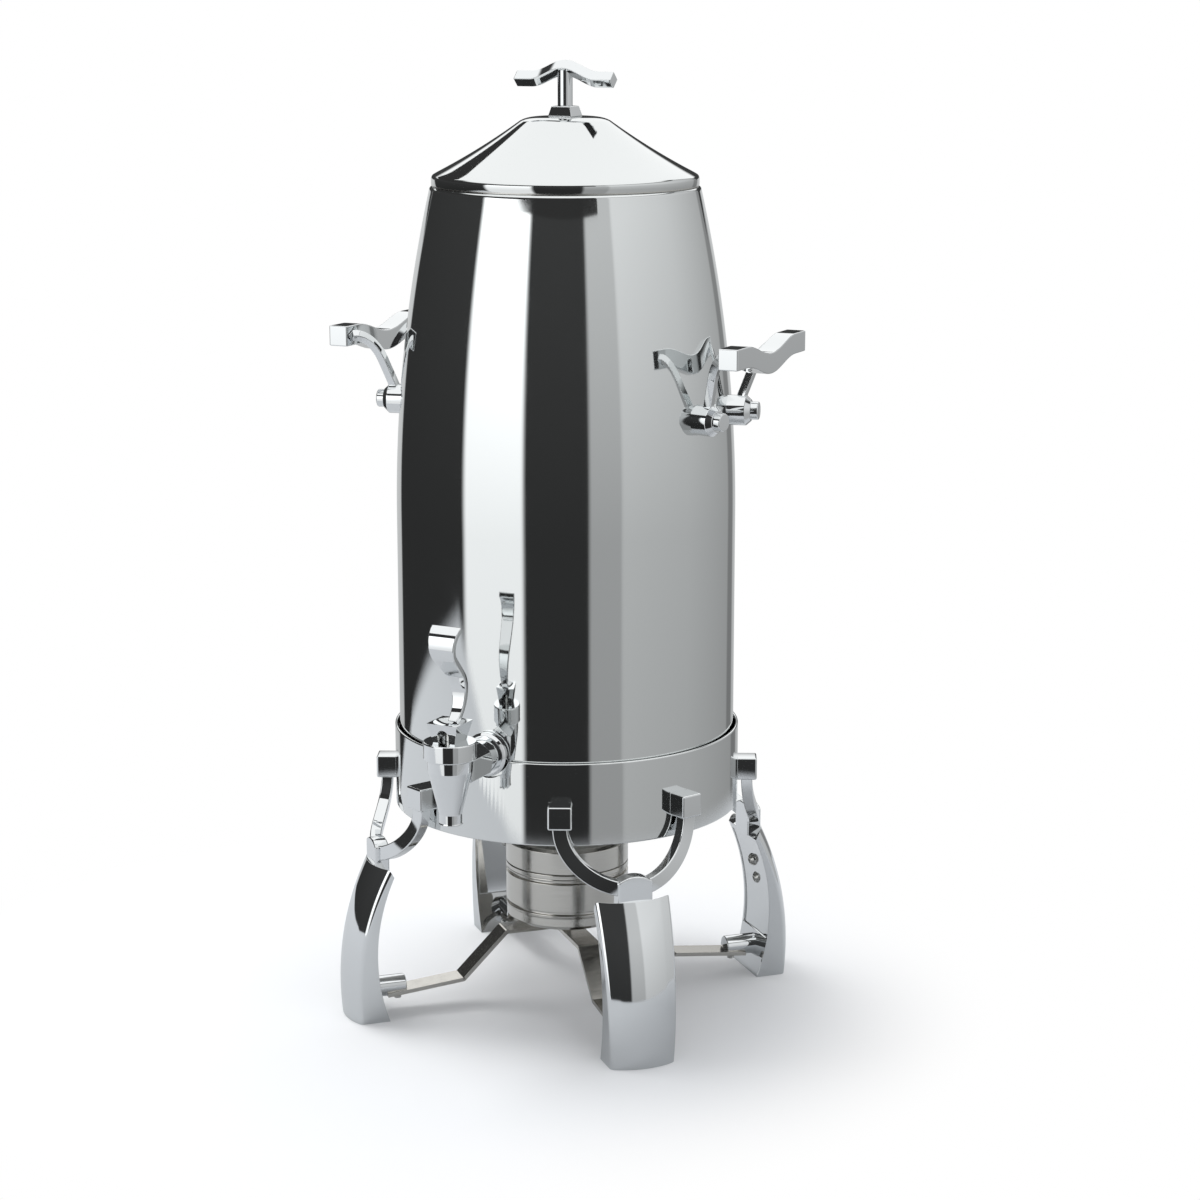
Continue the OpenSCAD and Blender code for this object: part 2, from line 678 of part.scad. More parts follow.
// Outer shell: the straight wall, the long shoulder curve and a rounded top edge
module outer_shell() {
    edge_z = body_top - top_edge_r;
    edge_c = shell_out(edge_z) - top_edge_r;
    in_r = top_edge_r - shell_t;
    color("silver") difference() {
        rotate_extrude($fn = wide_fn) polygon(concat(
            wall_line(0, urn_z, edge_z),
            [for (a = arc_step(0, 90, curve_n/3)) [edge_c + top_edge_r*cos(a), edge_z + top_edge_r*sin(a)]],
            [[mouth_out_r, body_top], [mouth_out_r, body_top - shell_t]],
            [for (a = arc_step(90, 0, curve_n/3)) [edge_c + in_r*cos(a), edge_z + in_r*sin(a)]],
            flip(wall_line(shell_t, urn_z, edge_z))));
        radial(0) along(body_r/2, body_r + over, shank_r + wall_hole_clear, tap_z);
        handle_holes();
    }
}
// Flat ring under the urn that stands on the ledge
module base_ring() {
    color("gray") ring(body_r - shell_t - base_ring_w, body_r - shell_t, urn_z, urn_z + base_ring_t);
}
// Inner vessel, which hangs from the top ring
vessel_inset = shell_t + air_gap;
module inner_vessel() {
    high = body_top - mouth_ring_t;
    color("lightgray") difference() {
        rotate_extrude($fn = wide_fn) polygon(concat(
            wall_line(vessel_inset, floor_z - 4*vessel_t, high),
            flip(wall_line(vessel_inset + vessel_t, floor_z - 4*vessel_t, high))));
        radial(0) along(body_r/2, body_r + over, shank_r + wall_hole_clear, tap_z);
    }
}
// Floor of the vessel, dished so that it drains
module vessel_floor() {
    dish = 2*vessel_t;
    color("lightgray") rotate_extrude($fn = wide_fn) polygon([
        [0, floor_z - dish], [vessel_in_r/2, floor_z - dish], [vessel_in_r, floor_z - vessel_t],
        [vessel_in_r, floor_z + vessel_t/5], [vessel_in_r/2, floor_z - dish + 1.2*vessel_t],
        [0, floor_z - dish + 1.2*vessel_t]]);
}
// Ring that closes the top between shell and vessel, with the mouth's lip
module mouth_ring() {
    low = body_top - mouth_ring_t;
    vessel_top_in = shell_out(low) - vessel_inset - vessel_t;
    lip_out = min(mouth_r + mouth_ring_t, vessel_top_in - gap/2);
    color("silver") rotate_extrude($fn = wide_fn) polygon([
        [mouth_r, body_top - mouth_lip_h], [lip_out, body_top - mouth_lip_h], [lip_out, low],
        [mouth_out_r, low], [mouth_out_r, body_top], [mouth_r, body_top]]);
}

// Heights and places of the side handles
hub_z = urn_z + hub_rise;
hub_wall_r = shell_out(hub_z);
hub_end_r = hub_wall_r + hub_len;
grip_z = hub_z + grip_rise;
grip_in_x = body_r + grip_reach;
module handle_holes() {
    for (side = [90, -90], s = [-1, 1]) radial(side + s*hub_angle)
        along(hub_wall_r - vessel_inset, hub_end_r, cap_shank_r, hub_z);
}
module handle_grip(side) {
    wave = (grip_l/2 - grip_flat);
    top = [for (i = [0:wave_n]) let (y = -grip_l/2 + grip_l*i/wave_n,
            k = max(0, 1 - abs(y)/wave))
        [y, grip_z + grip_w/2 - grip_dip*(1 - cos(180*k))/2]];
    color("silver") mirror([side < 0 ? 1 : 0, 0, 0])
        front_plate(concat(top, flip([for (p = top) [p[0], p[1] - grip_w]])), grip_in_x, grip_in_x + grip_w);
}
module handle_grip_right() { handle_grip(1); }
module handle_grip_left() { handle_grip(-1); }
// An arm's line rises from a hub and then bends outwards into the grip's inner face
arm_foot_r = hub_wall_r + hub_len*0.45;
arm_foot = [arm_foot_r*cos(hub_angle), arm_foot_r*sin(hub_angle), hub_z + hub_r/2];
arm_end = [grip_in_x, grip_l/2 - grip_flat/2, grip_z];
arm_knee_share = 0.56;
arm_knee = [arm_foot[0] + (arm_end[0] - arm_foot[0])*arm_knee_share,
            arm_foot[1] + (arm_end[1] - arm_foot[1])*arm_knee_share, grip_z];
arm_bend_share = 0.55;
function mix(p, q, k) = p + (q - p)*k;
arm_bend = mix(arm_foot, arm_knee, arm_bend_share);
function bezier(p, q, r, k) = mix(mix(p, q, k), mix(q, r, k), k);
function unit(v) = v/norm(v);
arm_line = concat([arm_foot], [for (k = arc_step(0, 1, 10)) bezier(arm_bend, arm_knee, arm_end, k)]);
// Rings of a square section on its edge, along a line in an upright plane
function bar_rings(line, diag) = let (
        n = len(line) - 1,
        flat = unit([line[n][0] - line[0][0], line[n][1] - line[0][1], 0]),
        across = [-flat[1], flat[0], 0]
    ) [for (i = [0:n]) let (
            dir = unit(line[min(i + 1, n)] - line[max(i - 1, 0)]),
            up = cross(across, dir)
        ) [line[i] + across*diag/2, line[i] + up*diag/2, line[i] - across*diag/2, line[i] - up*diag/2]];
module handle_arms(side) {
    color("silver") mirror([side < 0 ? 1 : 0, 0, 0]) difference() {
        for (s = [0, 1]) mirror([0, s, 0]) skin(bar_rings(arm_line, arm_diag));
        for (s = [-1, 1]) rotate([0, 0, s*hub_angle]) hub_solid();
        translate([grip_in_x, -grip_l, grip_z - grip_w]) cube([grip_w, 2*grip_l, 2*grip_w]);
    }
}
module handle_arms_right() { handle_arms(1); }
module handle_arms_left() { handle_arms(-1); }
// Hub along +X, before it is trimmed to the shell
module hub_solid() {
    translate([0, 0, hub_z]) rotate([0, 90, 0]) rotate_extrude() polygon([
        [0, hub_wall_r - shell_t*2], [hub_r, hub_wall_r - shell_t*2], [hub_r, hub_end_r - hub_chamfer],
        [hub_r - hub_chamfer, hub_end_r], [0, hub_end_r]]);
}
module handle_hubs(side) {
    color("silver") difference() {
        for (s = [-1, 1]) radial(side + s*hub_angle) hub_solid();
        body_blank();
        handle_holes();
    }
}
module handle_hubs_right() { handle_hubs(90); }
module handle_hubs_left() { handle_hubs(-90); }
// Cap screws: a round head outside the hub and a shank through to the nut
nut_t = air_gap*0.5;
washer_t = air_gap*0.12;
module at_hubs() { for (side = [90, -90], s = [-1, 1]) radial(side + s*hub_angle) children(); }
washer_out_r = shell_in_flat(2*cap_shank_r);
// Radius of a flat seat that just touches the shell's inner wall at half width w
function shell_in_flat(w) = sqrt(pow(hub_wall_r - shell_t, 2) - pow(w, 2)) - cap_shank_r/10;
module handle_cap_screws() {
    color("silver") at_hubs() {
        along(hub_end_r, hub_end_r + cap_len, cap_r, hub_z);
        along(washer_out_r - washer_t - nut_t, hub_end_r, cap_shank_r, hub_z);
    }
}
module handle_washers() {
    color("gray") intersection() {
        at_hubs() difference() {
            along(washer_out_r - washer_t, hub_wall_r, 2*cap_shank_r, hub_z);
            along(washer_out_r - nut_t, hub_wall_r + over, cap_shank_r, hub_z);
        }
        body_blank(shell_t);
    }
}
module handle_nuts() {
    color("gray") at_hubs() difference() {
        translate([washer_out_r - washer_t - nut_t, 0, hub_z]) rotate([0, 90, 0])
            cylinder(h = nut_t, r = 2*cap_shank_r, $fn = 6);
        along(washer_out_r - washer_t - nut_t - over, hub_wall_r, cap_shank_r, hub_z);
    }
}

// Levels and places of the tap
tap_r = body_r + tap_reach;
flange_in_r = body_r + gasket_t;
flange_out_r = flange_in_r + flange_t;
rear_end_r = flange_out_r + spacer_len;
bonnet_z = tap_z + bonnet_rise;
bonnet_top = bonnet_z + bonnet_h;
valve_cone_z = bonnet_z - valve_straight_h;
outlet_top_z = valve_cone_z - valve_cone_h;
outlet_z = outlet_top_z - outlet_h;
seat_z = valve_cone_z - valve_cone_h/2;
chamber_r = valve_r*0.62;
neck_r = valve_r - shell_t*2.5;
neck_h = bonnet_h*0.64;
module at_tap() { translate([0, -tap_r, 0]) children(); }
// Valve body with its cone, outlet tip, chamber and rear barrel
module tap_valve_body() {
    fillet = outlet_r/6;
    color("silver") difference() {
        union() {
            at_tap() rotate_extrude() polygon([
                [0, outlet_z], [outlet_r - fillet, outlet_z], [outlet_r, outlet_z + fillet],
                [outlet_r, outlet_top_z], [valve_r, valve_cone_z], [valve_r, bonnet_z],
                [neck_r, bonnet_z], [neck_r, bonnet_z + neck_h], [0, bonnet_z + neck_h]]);
            difference() {
                radial(0) rear_barrel();
                at_tap() translate([0, 0, bonnet_z]) cylinder(h = 2*rear_r, r = bonnet_r + gap/2);
            }
        }
        at_tap() translate([0, 0, outlet_z - over]) cylinder(h = valve_cone_h*2, r = outlet_bore_r);
        at_tap() translate([0, 0, seat_z]) cylinder(h = bonnet_top, r = chamber_r);
        radial(0) along(rear_end_r - over, rear_end_r + rear_bore_len, shank_r, tap_z);
        radial(0) along(rear_end_r, tap_r, shank_bore_r, tap_z);
    }
}
rear_bore_len = tap_r - valve_r - rear_end_r;
module rear_barrel() {
    soft = rear_r/5;
    translate([0, 0, tap_z]) rotate([0, 90, 0]) intersection() {
        rotate_extrude() polygon([
            [0, rear_end_r], [rear_r - soft, rear_end_r], [rear_r, rear_end_r + soft],
            [rear_r, tap_r - valve_r/2], [0, tap_r]]);
        translate([0, 0, rear_end_r - over]) cylinder(h = tap_reach, r = rear_r, $fn = 6);
    }
}
// Bonnet screwed on the valve body's neck
module tap_bonnet() {
    roof = bonnet_z + neck_h;
    color("silver") at_tap() rotate_extrude() polygon([
        [neck_r, bonnet_z], [bonnet_r, bonnet_z], [bonnet_r, bonnet_top - gap], [bonnet_r - gap, bonnet_top],
        [stem_r + slide_gap, bonnet_top], [stem_r + slide_gap, roof], [neck_r, roof]]);
}
module tap_shank() {
    color("lightgray") radial(0) difference() {
        along(nut_in_r - shank_r/2, rear_end_r + rear_bore_len, shank_r, tap_z);
        along(nut_in_r - shank_r, rear_end_r + rear_bore_len + over, shank_bore_r, tap_z);
    }
}
module tap_spacer() {
    color("silver") radial(0) difference() {
        along(flange_out_r, rear_end_r, spacer_r, tap_z);
        along(flange_out_r - over, rear_end_r + over, shank_r, tap_z);
    }
}
module tap_flange() {
    soft = flange_t/3;
    color("silver") radial(0) translate([0, 0, tap_z]) rotate([0, 90, 0]) rotate_extrude() polygon([
        [shank_r, flange_in_r], [flange_r, flange_in_r], [flange_r, flange_out_r - soft],
        [flange_r - soft, flange_out_r], [shank_r, flange_out_r]]);
}
gasket_r = flange_r - gasket_t;
module tap_outer_gasket() {
    color("white") difference() {
        radial(0) along(body_r - 2*gasket_t, flange_in_r, gasket_r, tap_z);
        body_blank();
        radial(0) along(body_r/2, tap_r, shank_r, tap_z);
    }
}
// Sleeve on the shank between the two walls
module tap_wall_sleeve() {
    color("lightgray") intersection() {
        radial(0) difference() {
            along(body_r/2, body_r, spacer_r, tap_z);
            along(body_r/2 - over, body_r + over, shank_r, tap_z);
        }
        ring(body_r - vessel_inset, body_r - shell_t, tap_z - 2*spacer_r, tap_z + 2*spacer_r);
    }
}
inner_seal_r = shank_r*1.83;
inner_gasket_r = sqrt(pow(vessel_in_r, 2) - pow(inner_seal_r, 2)) - gasket_t;
nut_h = flange_t*1.2;
nut_in_r = inner_gasket_r - nut_h;
module tap_inner_gasket() {
    color("white") intersection() {
        radial(0) difference() {
            along(inner_gasket_r, body_r, inner_seal_r, tap_z);
            along(inner_gasket_r - over, body_r + over, shank_r, tap_z);
        }
        translate([0, 0, tap_z - 2*inner_seal_r])
            cylinder(h = 4*inner_seal_r, r = vessel_in_r, $fn = wide_fn);
    }
}
module tap_lock_nut() {
    color("lightgray") radial(0) difference() {
        translate([nut_in_r, 0, tap_z]) rotate([0, 90, 0]) cylinder(h = nut_h, r = inner_seal_r, $fn = 6);
        along(nut_in_r - over, inner_gasket_r + over, shank_r, tap_z);
    }
}
// Washer under the bonnet's roof, on which the spring bears
washer_low = bonnet_z + neck_h - shell_t;
module tap_stem_washer() {
    color("lightgray") at_tap() ring(stem_r + slide_gap, chamber_r - gap, washer_low, bonnet_z + neck_h);
}
// Stem with the collar that the spring pushes down
crown_z = bonnet_top + gap + gap/3;
crown_floor_t = crown_w*0.176;
pin_r = stem_r*0.43;
pin_z = crown_z + crown_floor_t + pin_r + gap + gap/3;
seat_cup_z = seat_z + gap;
seat_cup_h = valve_cone_h*0.2;
seat_cup_r = chamber_r*0.76;
collar_z = seat_cup_z + seat_cup_h;
collar_h = seat_cup_h/3;
collar_r = seat_cup_r*0.95;
module tap_stem() {
    color("lightgray") at_tap() difference() {
        union() {
            translate([0, 0, seat_cup_z + seat_cup_h/3])
                cylinder(h = pin_z + stem_r*0.6 - seat_cup_z - seat_cup_h/3, r = stem_r);
            translate([0, 0, collar_z]) cylinder(h = collar_h, r = collar_r);
        }
        translate([-crown_w, 0, pin_z]) rotate([0, 90, 0]) cylinder(h = 2*crown_w, r = pin_r);
    }
}
// Soft cup that closes the outlet
module tap_seat_cup() {
    color("white") at_tap() difference() {
        translate([0, 0, seat_cup_z]) cylinder(h = seat_cup_h, r = seat_cup_r);
        translate([0, 0, seat_cup_z + seat_cup_h/3]) cylinder(h = seat_cup_h, r = stem_r);
    }
}
// Cross pin that the crown's floor lifts
pin_l = crown_w*0.74;
module tap_lift_pin() {
    color("gray") at_tap() translate([-pin_l/2, 0, pin_z]) rotate([0, 90, 0]) cylinder(h = pin_l, r = pin_r);
}
// Spring between the stem's collar and the washer: one unbroken wire
spring_wire_r = stem_r*0.17;
spring_r = (stem_r + slide_gap + chamber_r - gap)/2;
spring_turns = 5;
module tap_spring() {
    low = collar_z + collar_h + spring_wire_r;
    high = washer_low - spring_wire_r;
    sides = 6;
    per_turn = 16;
    mid_r = min(spring_r, collar_r - spring_wire_r);
    color("gray") at_tap() skin([for (i = [0:spring_turns*per_turn]) let (
            a = 360*i/per_turn,
            z = low + (high - low)*i/(spring_turns*per_turn)
        ) [for (k = [0:sides - 1]) let (b = 360*k/sides, q = mid_r + spring_wire_r*cos(b))
            [q*cos(a), q*sin(a), z + spring_wire_r*sin(b)]]]);
}

// Lever: a hollow square crown that rocks on the bonnet, and an S-shaped blade
blade_base_z = crown_z + crown_h - blade_t/2;
blade_tip_z = crown_z + crown_h + blade_h;
waist_out = -blade_low_r*0.7;
bulge_out = blade_high_r*0.73;
waist_z = blade_base_z + blade_low_r*0.86;
bulge_z = blade_tip_z - blade_high_r*0.92;
low_c = [waist_out + blade_low_r, waist_z];
high_c = [bulge_out - blade_high_r, bulge_z];
base_turn = -asin((waist_z - blade_base_z)/blade_low_r);
tip_lean = asin((blade_tip_z - bulge_z)/blade_high_r);
cross_turn = atan2(high_c[0] - low_c[0], high_c[1] - low_c[1])
    + asin((blade_low_r + blade_high_r)/norm(high_c - low_c));
// Each step: distance outwards, height and lean of the blade's middle line
blade_line = concat(
    [for (a = arc_step(base_turn, cross_turn, curve_n/2))
        [low_c[0] - blade_low_r*cos(a), low_c[1] + blade_low_r*sin(a), a]],
    [for (a = arc_step(cross_turn, -tip_lean, curve_n/2))
        [high_c[0] + blade_high_r*cos(a), high_c[1] - blade_high_r*sin(a), a]]);
function blade_w(z) = blade_foot_w + (blade_tip_w - blade_foot_w)
    * pow(max(0, (z - blade_base_z)/(blade_tip_z - blade_base_z)), 1.15);
module blade() {
    skin([for (p = blade_line) let (w = blade_w(p[1])/2, n = [cos(p[2]), -sin(p[2])]*blade_t/2)
        [[-w, -p[0] - n[0], p[1] + n[1]], [w, -p[0] - n[0], p[1] + n[1]],
         [w, -p[0] + n[0], p[1] - n[1]], [-w, -p[0] + n[0], p[1] - n[1]]]]);
}
crown_room_share = [0.8, 0.7];
module tap_lever() {
    scoop_r = crown_top_w*0.85;
    scoop_d = crown_h*0.27;
    room_top = crown_z + crown_h*0.61;
    arch_r = crown_arch_w/2;
    arch_top = crown_z + crown_h*0.71;
    color("silver") at_tap() {
        difference() {
            square_frustum(crown_w, crown_top_w, crown_h, crown_z);
            translate([0, 0, crown_z + crown_h - scoop_d + scoop_r]) sphere(r = scoop_r);
            translate([-crown_w*crown_room_share[0]/2, -crown_w*crown_room_share[1]/2, crown_z + crown_floor_t])
                cube([crown_w*crown_room_share[0], crown_w*crown_room_share[1], room_top - crown_z - crown_floor_t]);
            translate([-arch_r, -crown_top_w, crown_z - over])
                cube([crown_arch_w, 2*crown_top_w, room_top - crown_z + over]);
            for (s = [0, 1]) mirror([0, s, 0])
                translate([-arch_r, crown_w*crown_room_share[1]/2, crown_z])
                    cube([crown_arch_w, crown_top_w, arch_top - arch_r - crown_z]);
            for (s = [-1, 1]) translate([0, s*crown_w*crown_room_share[1]/2, arch_top - arch_r])
                rotate([s*-90, 0, 0]) cylinder(h = crown_top_w, r = arch_r);
        }
        blade();
    }
}

// Lid levels: the rim, the hollow-sided cone and the flat top with a soft shoulder
lid_z = body_top + lid_seam;
lid_step = gap*3;
lid_r = shell_out(body_top) - lid_step;
lid_rim_z = lid_z + lid_rim_h;
lid_top_z = lid_rim_z + lid_cone_h;
lid_edge = lid_t;
lid_shoulder = lid_top_r*0.27;
cone_out = [lid_r - lid_edge, lid_rim_z + lid_edge/2];
cone_in = [lid_top_r, lid_top_z - lid_shoulder*0.35];
cone_sag = unit([cone_in[1] - cone_out[1], cone_out[0] - cone_in[0]])*-lid_sag;
function lid_line(drop) = concat(
    [for (k = arc_step(0, 1, curve_n/2)) mix(cone_out, cone_in, k) + cone_sag*4*k*(1 - k) - [0, drop]],
    [for (k = arc_step(0.2, 1, 6)) bezier(cone_in, cone_in + [-lid_shoulder*0.6, lid_shoulder*0.35],
        [cone_in[0] - 1.6*lid_shoulder, lid_top_z], k) - [0, drop]]);
module lid_shell() {
    outer = lid_line(0);
    inner = lid_line(lid_t*1.15);
    color("silver") difference() {
        rotate_extrude() polygon(concat(
            [[lid_r - lid_t, lid_z], [lid_r, lid_z], [lid_r, lid_rim_z]], outer,
            [[0, lid_top_z], [0, lid_top_z - lid_t*1.15]],
            flip([for (p = inner) [min(p[0], lid_r - lid_t), p[1]]])));
        translate([0, 0, lid_top_z - 2*lid_t]) cylinder(h = 4*lid_t, r = knob_screw_r);
    }
}
// Collar inside the lid: a flange that rests on the mouth and a skirt that enters it
collar_out_r = mouth_r - lid_clear;
module lid_collar() {
    color("lightgray") rotate_extrude() polygon([
        [collar_out_r - lid_t, body_top - lid_collar_h], [collar_out_r, body_top - lid_collar_h],
        [collar_out_r, body_top], [lid_r - lid_t, body_top], [lid_r - lid_t/3, body_top],
        [lid_r - lid_t/3, lid_z], [collar_out_r - lid_t, lid_z]]);
}
module knob_base() {
    color("silver") difference() {
        square_frustum(knob_base_w, knob_base_top_w, knob_base_h, lid_top_z);
        translate([0, 0, lid_top_z - over]) cylinder(h = knob_base_h + 2*over, r = knob_screw_r);
    }
}
stem_z = lid_top_z + knob_base_h;
stem_top = stem_z + knob_stem_h + knob_bar_h*0.4;
knob_thread_z = stem_z + knob_stem_h/2;
module knob_stem() {
    color("silver") difference() {
        translate([0, 0, stem_z]) cylinder(h = stem_top - stem_z, r = knob_stem_r);
        translate([0, 0, stem_z - over]) cylinder(h = knob_thread_z - stem_z + over, r = knob_screw_r);
    }
}
// Wavy bar with a square section on its edge
module knob_bar() {
    mid = stem_z + knob_stem_h + knob_bar_h/2;
    wave = knob_bar_l/2 - knob_bar_flat;
    color("silver") difference() {
        skin([for (i = [0:wave_n]) let (
                x = -knob_bar_l/2 + knob_bar_l*i/wave_n,
                k = max(0, 1 - abs(x)/wave),
                z = mid - knob_bar_drop*(1 + cos(180*k))/2
            ) [[x, 0, z - knob_bar_h/2], [x, knob_bar_w/2, z], [x, 0, z + knob_bar_h/2], [x, -knob_bar_w/2, z]]]);
        translate([0, 0, stem_z]) cylinder(h = stem_top - stem_z, r = knob_stem_r);
    }
}
module knob_screw() {
    head = knob_screw_r;
    low = lid_top_z - lid_t*1.15;
    color("dimgray") {
        translate([0, 0, low]) cylinder(h = knob_thread_z - low, r = knob_screw_r);
        translate([0, 0, low - head]) cylinder(h = head, r = 2*knob_screw_r);
    }
}

stand_band();
support_ledge();
band_blocks();
block_screws();
yoke_front_right();
yoke_front_left();
yoke_rear_right();
yoke_rear_left();
leg_front_right();
leg_front_left();
leg_rear_right();
leg_rear_left();
leg_screws();
strap_bosses();
strap_screws();
lower_strap();
upper_strap();
strap_rivet();
fuel_dish();
fuel_cup();
fuel_can();
fuel_cover();
outer_shell();
inner_vessel();
vessel_floor();
base_ring();
mouth_ring();
handle_grip_right();
handle_grip_left();
handle_arms_right();
handle_arms_left();
handle_hubs_right();
handle_hubs_left();
handle_cap_screws();
handle_washers();
handle_nuts();
tap_valve_body();
tap_bonnet();
tap_shank();
tap_spacer();
tap_flange();
tap_outer_gasket();
tap_wall_sleeve();
tap_inner_gasket();
tap_lock_nut();
tap_stem_washer();
tap_spring();
tap_stem();
tap_seat_cup();
tap_lift_pin();
tap_lever();
lid_shell();
lid_collar();
knob_base();
knob_stem();
knob_bar();
knob_screw();
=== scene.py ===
# %% [markdown]
# # A polished coffee urn on its stand
# A catering urn is mostly mirror: its looks are the shapes of its sheets and
# castings and what they reflect. This lesson loads the measured model, sets
# the camera and a small studio, and then makes each shown piece again with
# rounded edges and smooth walls, because a mirror shows every flat facet.

# %% Load the frame
import math

import bpy
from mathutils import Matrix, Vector


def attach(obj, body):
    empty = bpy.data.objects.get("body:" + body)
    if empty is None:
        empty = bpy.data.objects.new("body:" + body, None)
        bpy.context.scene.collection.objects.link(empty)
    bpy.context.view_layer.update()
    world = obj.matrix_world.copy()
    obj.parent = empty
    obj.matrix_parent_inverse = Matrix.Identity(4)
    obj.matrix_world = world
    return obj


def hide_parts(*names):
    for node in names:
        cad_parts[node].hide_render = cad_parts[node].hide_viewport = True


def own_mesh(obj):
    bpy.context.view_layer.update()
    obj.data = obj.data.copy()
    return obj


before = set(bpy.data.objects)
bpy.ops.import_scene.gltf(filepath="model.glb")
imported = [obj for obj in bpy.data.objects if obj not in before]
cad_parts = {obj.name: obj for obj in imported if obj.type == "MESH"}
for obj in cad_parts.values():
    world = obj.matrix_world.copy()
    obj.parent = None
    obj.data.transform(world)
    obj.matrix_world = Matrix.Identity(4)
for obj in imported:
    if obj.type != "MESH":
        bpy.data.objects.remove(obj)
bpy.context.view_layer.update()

MM = 0.001


def sine(degrees):
    return math.sin(math.radians(degrees))


def cosine(degrees):
    return math.cos(math.radians(degrees))


# %% [markdown]
# ## Camera
# The picture was taken from the front right, a little above the lid, with a
# long lens. A long lens keeps the upright sides nearly parallel. The camera's
# place was worked out from the legs, the ring and the lid together. It aims a
# little to the right of the urn.

# %% Camera
CAMERA_TURN = math.radians(26.52)
camera_data = bpy.data.cameras.new("photo_camera")
camera_data.lens = 85.787
camera_data.sensor_width = 36
camera_data.clip_start = 0.05
camera_data.clip_end = 60
camera = bpy.data.objects.new("photo_camera", camera_data)
bpy.context.scene.collection.objects.link(camera)
camera.location = (0.93576, -1.87533, 0.76485)
camera.rotation_euler = (math.radians(77.685), 0, math.radians(25.83))
bpy.context.scene.camera = camera
bpy.context.scene.view_settings.view_transform = "Standard"
print("camera at", tuple(round(v, 3) for v in camera.location))

# %% [markdown]
# ## Colour and node helpers
# Colours are written as they look on a screen, as hex values, and turned to
# the linear values that a shader wants. One helper adds a node with its
# settings and links, and the others are short forms of it for sums, soft
# steps and mixed colours, so that each material below reads as a short list.

# %% Helpers for materials
def linear(hexa):
    shares = [int(hexa[i:i + 2], 16)/255 for i in (0, 2, 4)]
    return [s/12.92 if s <= 0.04045 else ((s + 0.055)/1.055)**2.4 for s in shares] + [1]


def add(tree, kind, settings=None, inputs=None):
    made = tree.nodes.new(kind)
    for name, value in (settings or {}).items():
        setattr(made, name, value)
    for name, value in (inputs or {}).items():
        if isinstance(value, bpy.types.NodeSocket):
            tree.links.new(value, made.inputs[name])
        else:
            made.inputs[name].default_value = value
    return made


def maths(tree, operation, *inputs):
    return add(tree, "ShaderNodeMath", {"operation": operation}, dict(enumerate(inputs))).outputs[0]


def measure(tree, operation, *inputs):
    made = add(tree, "ShaderNodeVectorMath", {"operation": operation}, dict(enumerate(inputs)))
    return made.outputs["Value"]


def soft_step(tree, value, low, high):
    made = add(tree, "ShaderNodeMapRange", {"interpolation_type": "SMOOTHSTEP"},
               {"Value": value, "From Min": low, "From Max": high})
    return made.outputs["Result"]


def blend(tree, share, first, second):
    made = add(tree, "ShaderNodeMix", {"data_type": "RGBA"}, {"Factor": share, 6: first, 7: second})
    return made.outputs[2]


def blank_material(name):
    made = bpy.data.materials.new(name)
    made.use_nodes = True
    made.node_tree.nodes.clear()
    return made


print("white is", linear("FFFFFF")[:3])

# %% [markdown]
# ## Directions
# The studio is laid out as the camera sees it. A direction or a place is
# named by its turn: degrees round the urn from the camera, to the right. A
# ramp then gives each turn its own light, or its own length.

# %% Helpers for directions
toward = (math.sin(CAMERA_TURN), -math.cos(CAMERA_TURN), 0)
right = (math.cos(CAMERA_TURN), math.sin(CAMERA_TURN), 0)


def turn_of(tree, place):
    return maths(tree, "ARCTAN2", measure(tree, "DOT_PRODUCT", place, right),
                 measure(tree, "DOT_PRODUCT", place, toward))


def by_turn(tree, turn, table):
    share = add(tree, "ShaderNodeMapRange", None,
                {"Value": turn, "From Min": -math.pi, "From Max": math.pi})
    ramp = add(tree, "ShaderNodeValToRGB", None, {"Fac": share.outputs["Result"]})
    stops = ramp.color_ramp.elements
    stops.remove(stops[0])
    for number, (degrees, colour) in enumerate(table):
        stop = stops[0] if number == 0 else stops.new((degrees + 180)/360)
        stop.position = (degrees + 180)/360
        stop.color = colour
    return ramp.outputs["Color"]


print("towards the camera:", [round(v, 3) for v in toward])

# %% [markdown]
# ## Studio
# A mirror shows the room, so the room is part of the look. Photographers
# stand dark and white cards round polished metal. Here the world holds them
# as upright bands, read from the direction alone: dark at the left and behind
# the camera, a white card between, a pale wall at the right and soft light
# overhead. A narrow dark gap parts the cards from the ceiling. Behind the urn
# the gap starts at the horizon and the ceiling comes down low. The camera
# itself sees plain white, and matt surfaces get one even light.

# %% World with cards
# Turn in degrees, and the light that comes from there
CARDS = [
    (-180, 0.56), (-152, 0.52), (-149, 0.027), (-74, 0.029), (-71, 1.0), (-30, 1.0), (-27.5, 0.029),
    (14, 0.029), (16.5, 0.37), (36.5, 0.37), (38.5, 0.50), (90, 0.45), (142, 0.34), (145, 0.20),
    (155, 0.20), (158, 0.46), (180, 0.56),
]
# Elevations in degrees: the cards' tops, the ceiling's edge, and that edge behind the urn
CARD_TOP, CEILING_LOW, CEILING_LOW_BEHIND = 36, 38, 12
CARD_BLUR, CEILING_BLUR = 0.7, 6
BEHIND_FROM, BEHIND_TO = 147, 151
GAP_LIGHT, CEILING_LIGHT = (0.045, 0.046, 0.046, 1), (1.12, 1.13, 1.13, 1)
EVEN_LIGHT, PLAIN_WHITE = (0.8, 0.81, 0.83, 1), (1, 1, 1, 1)

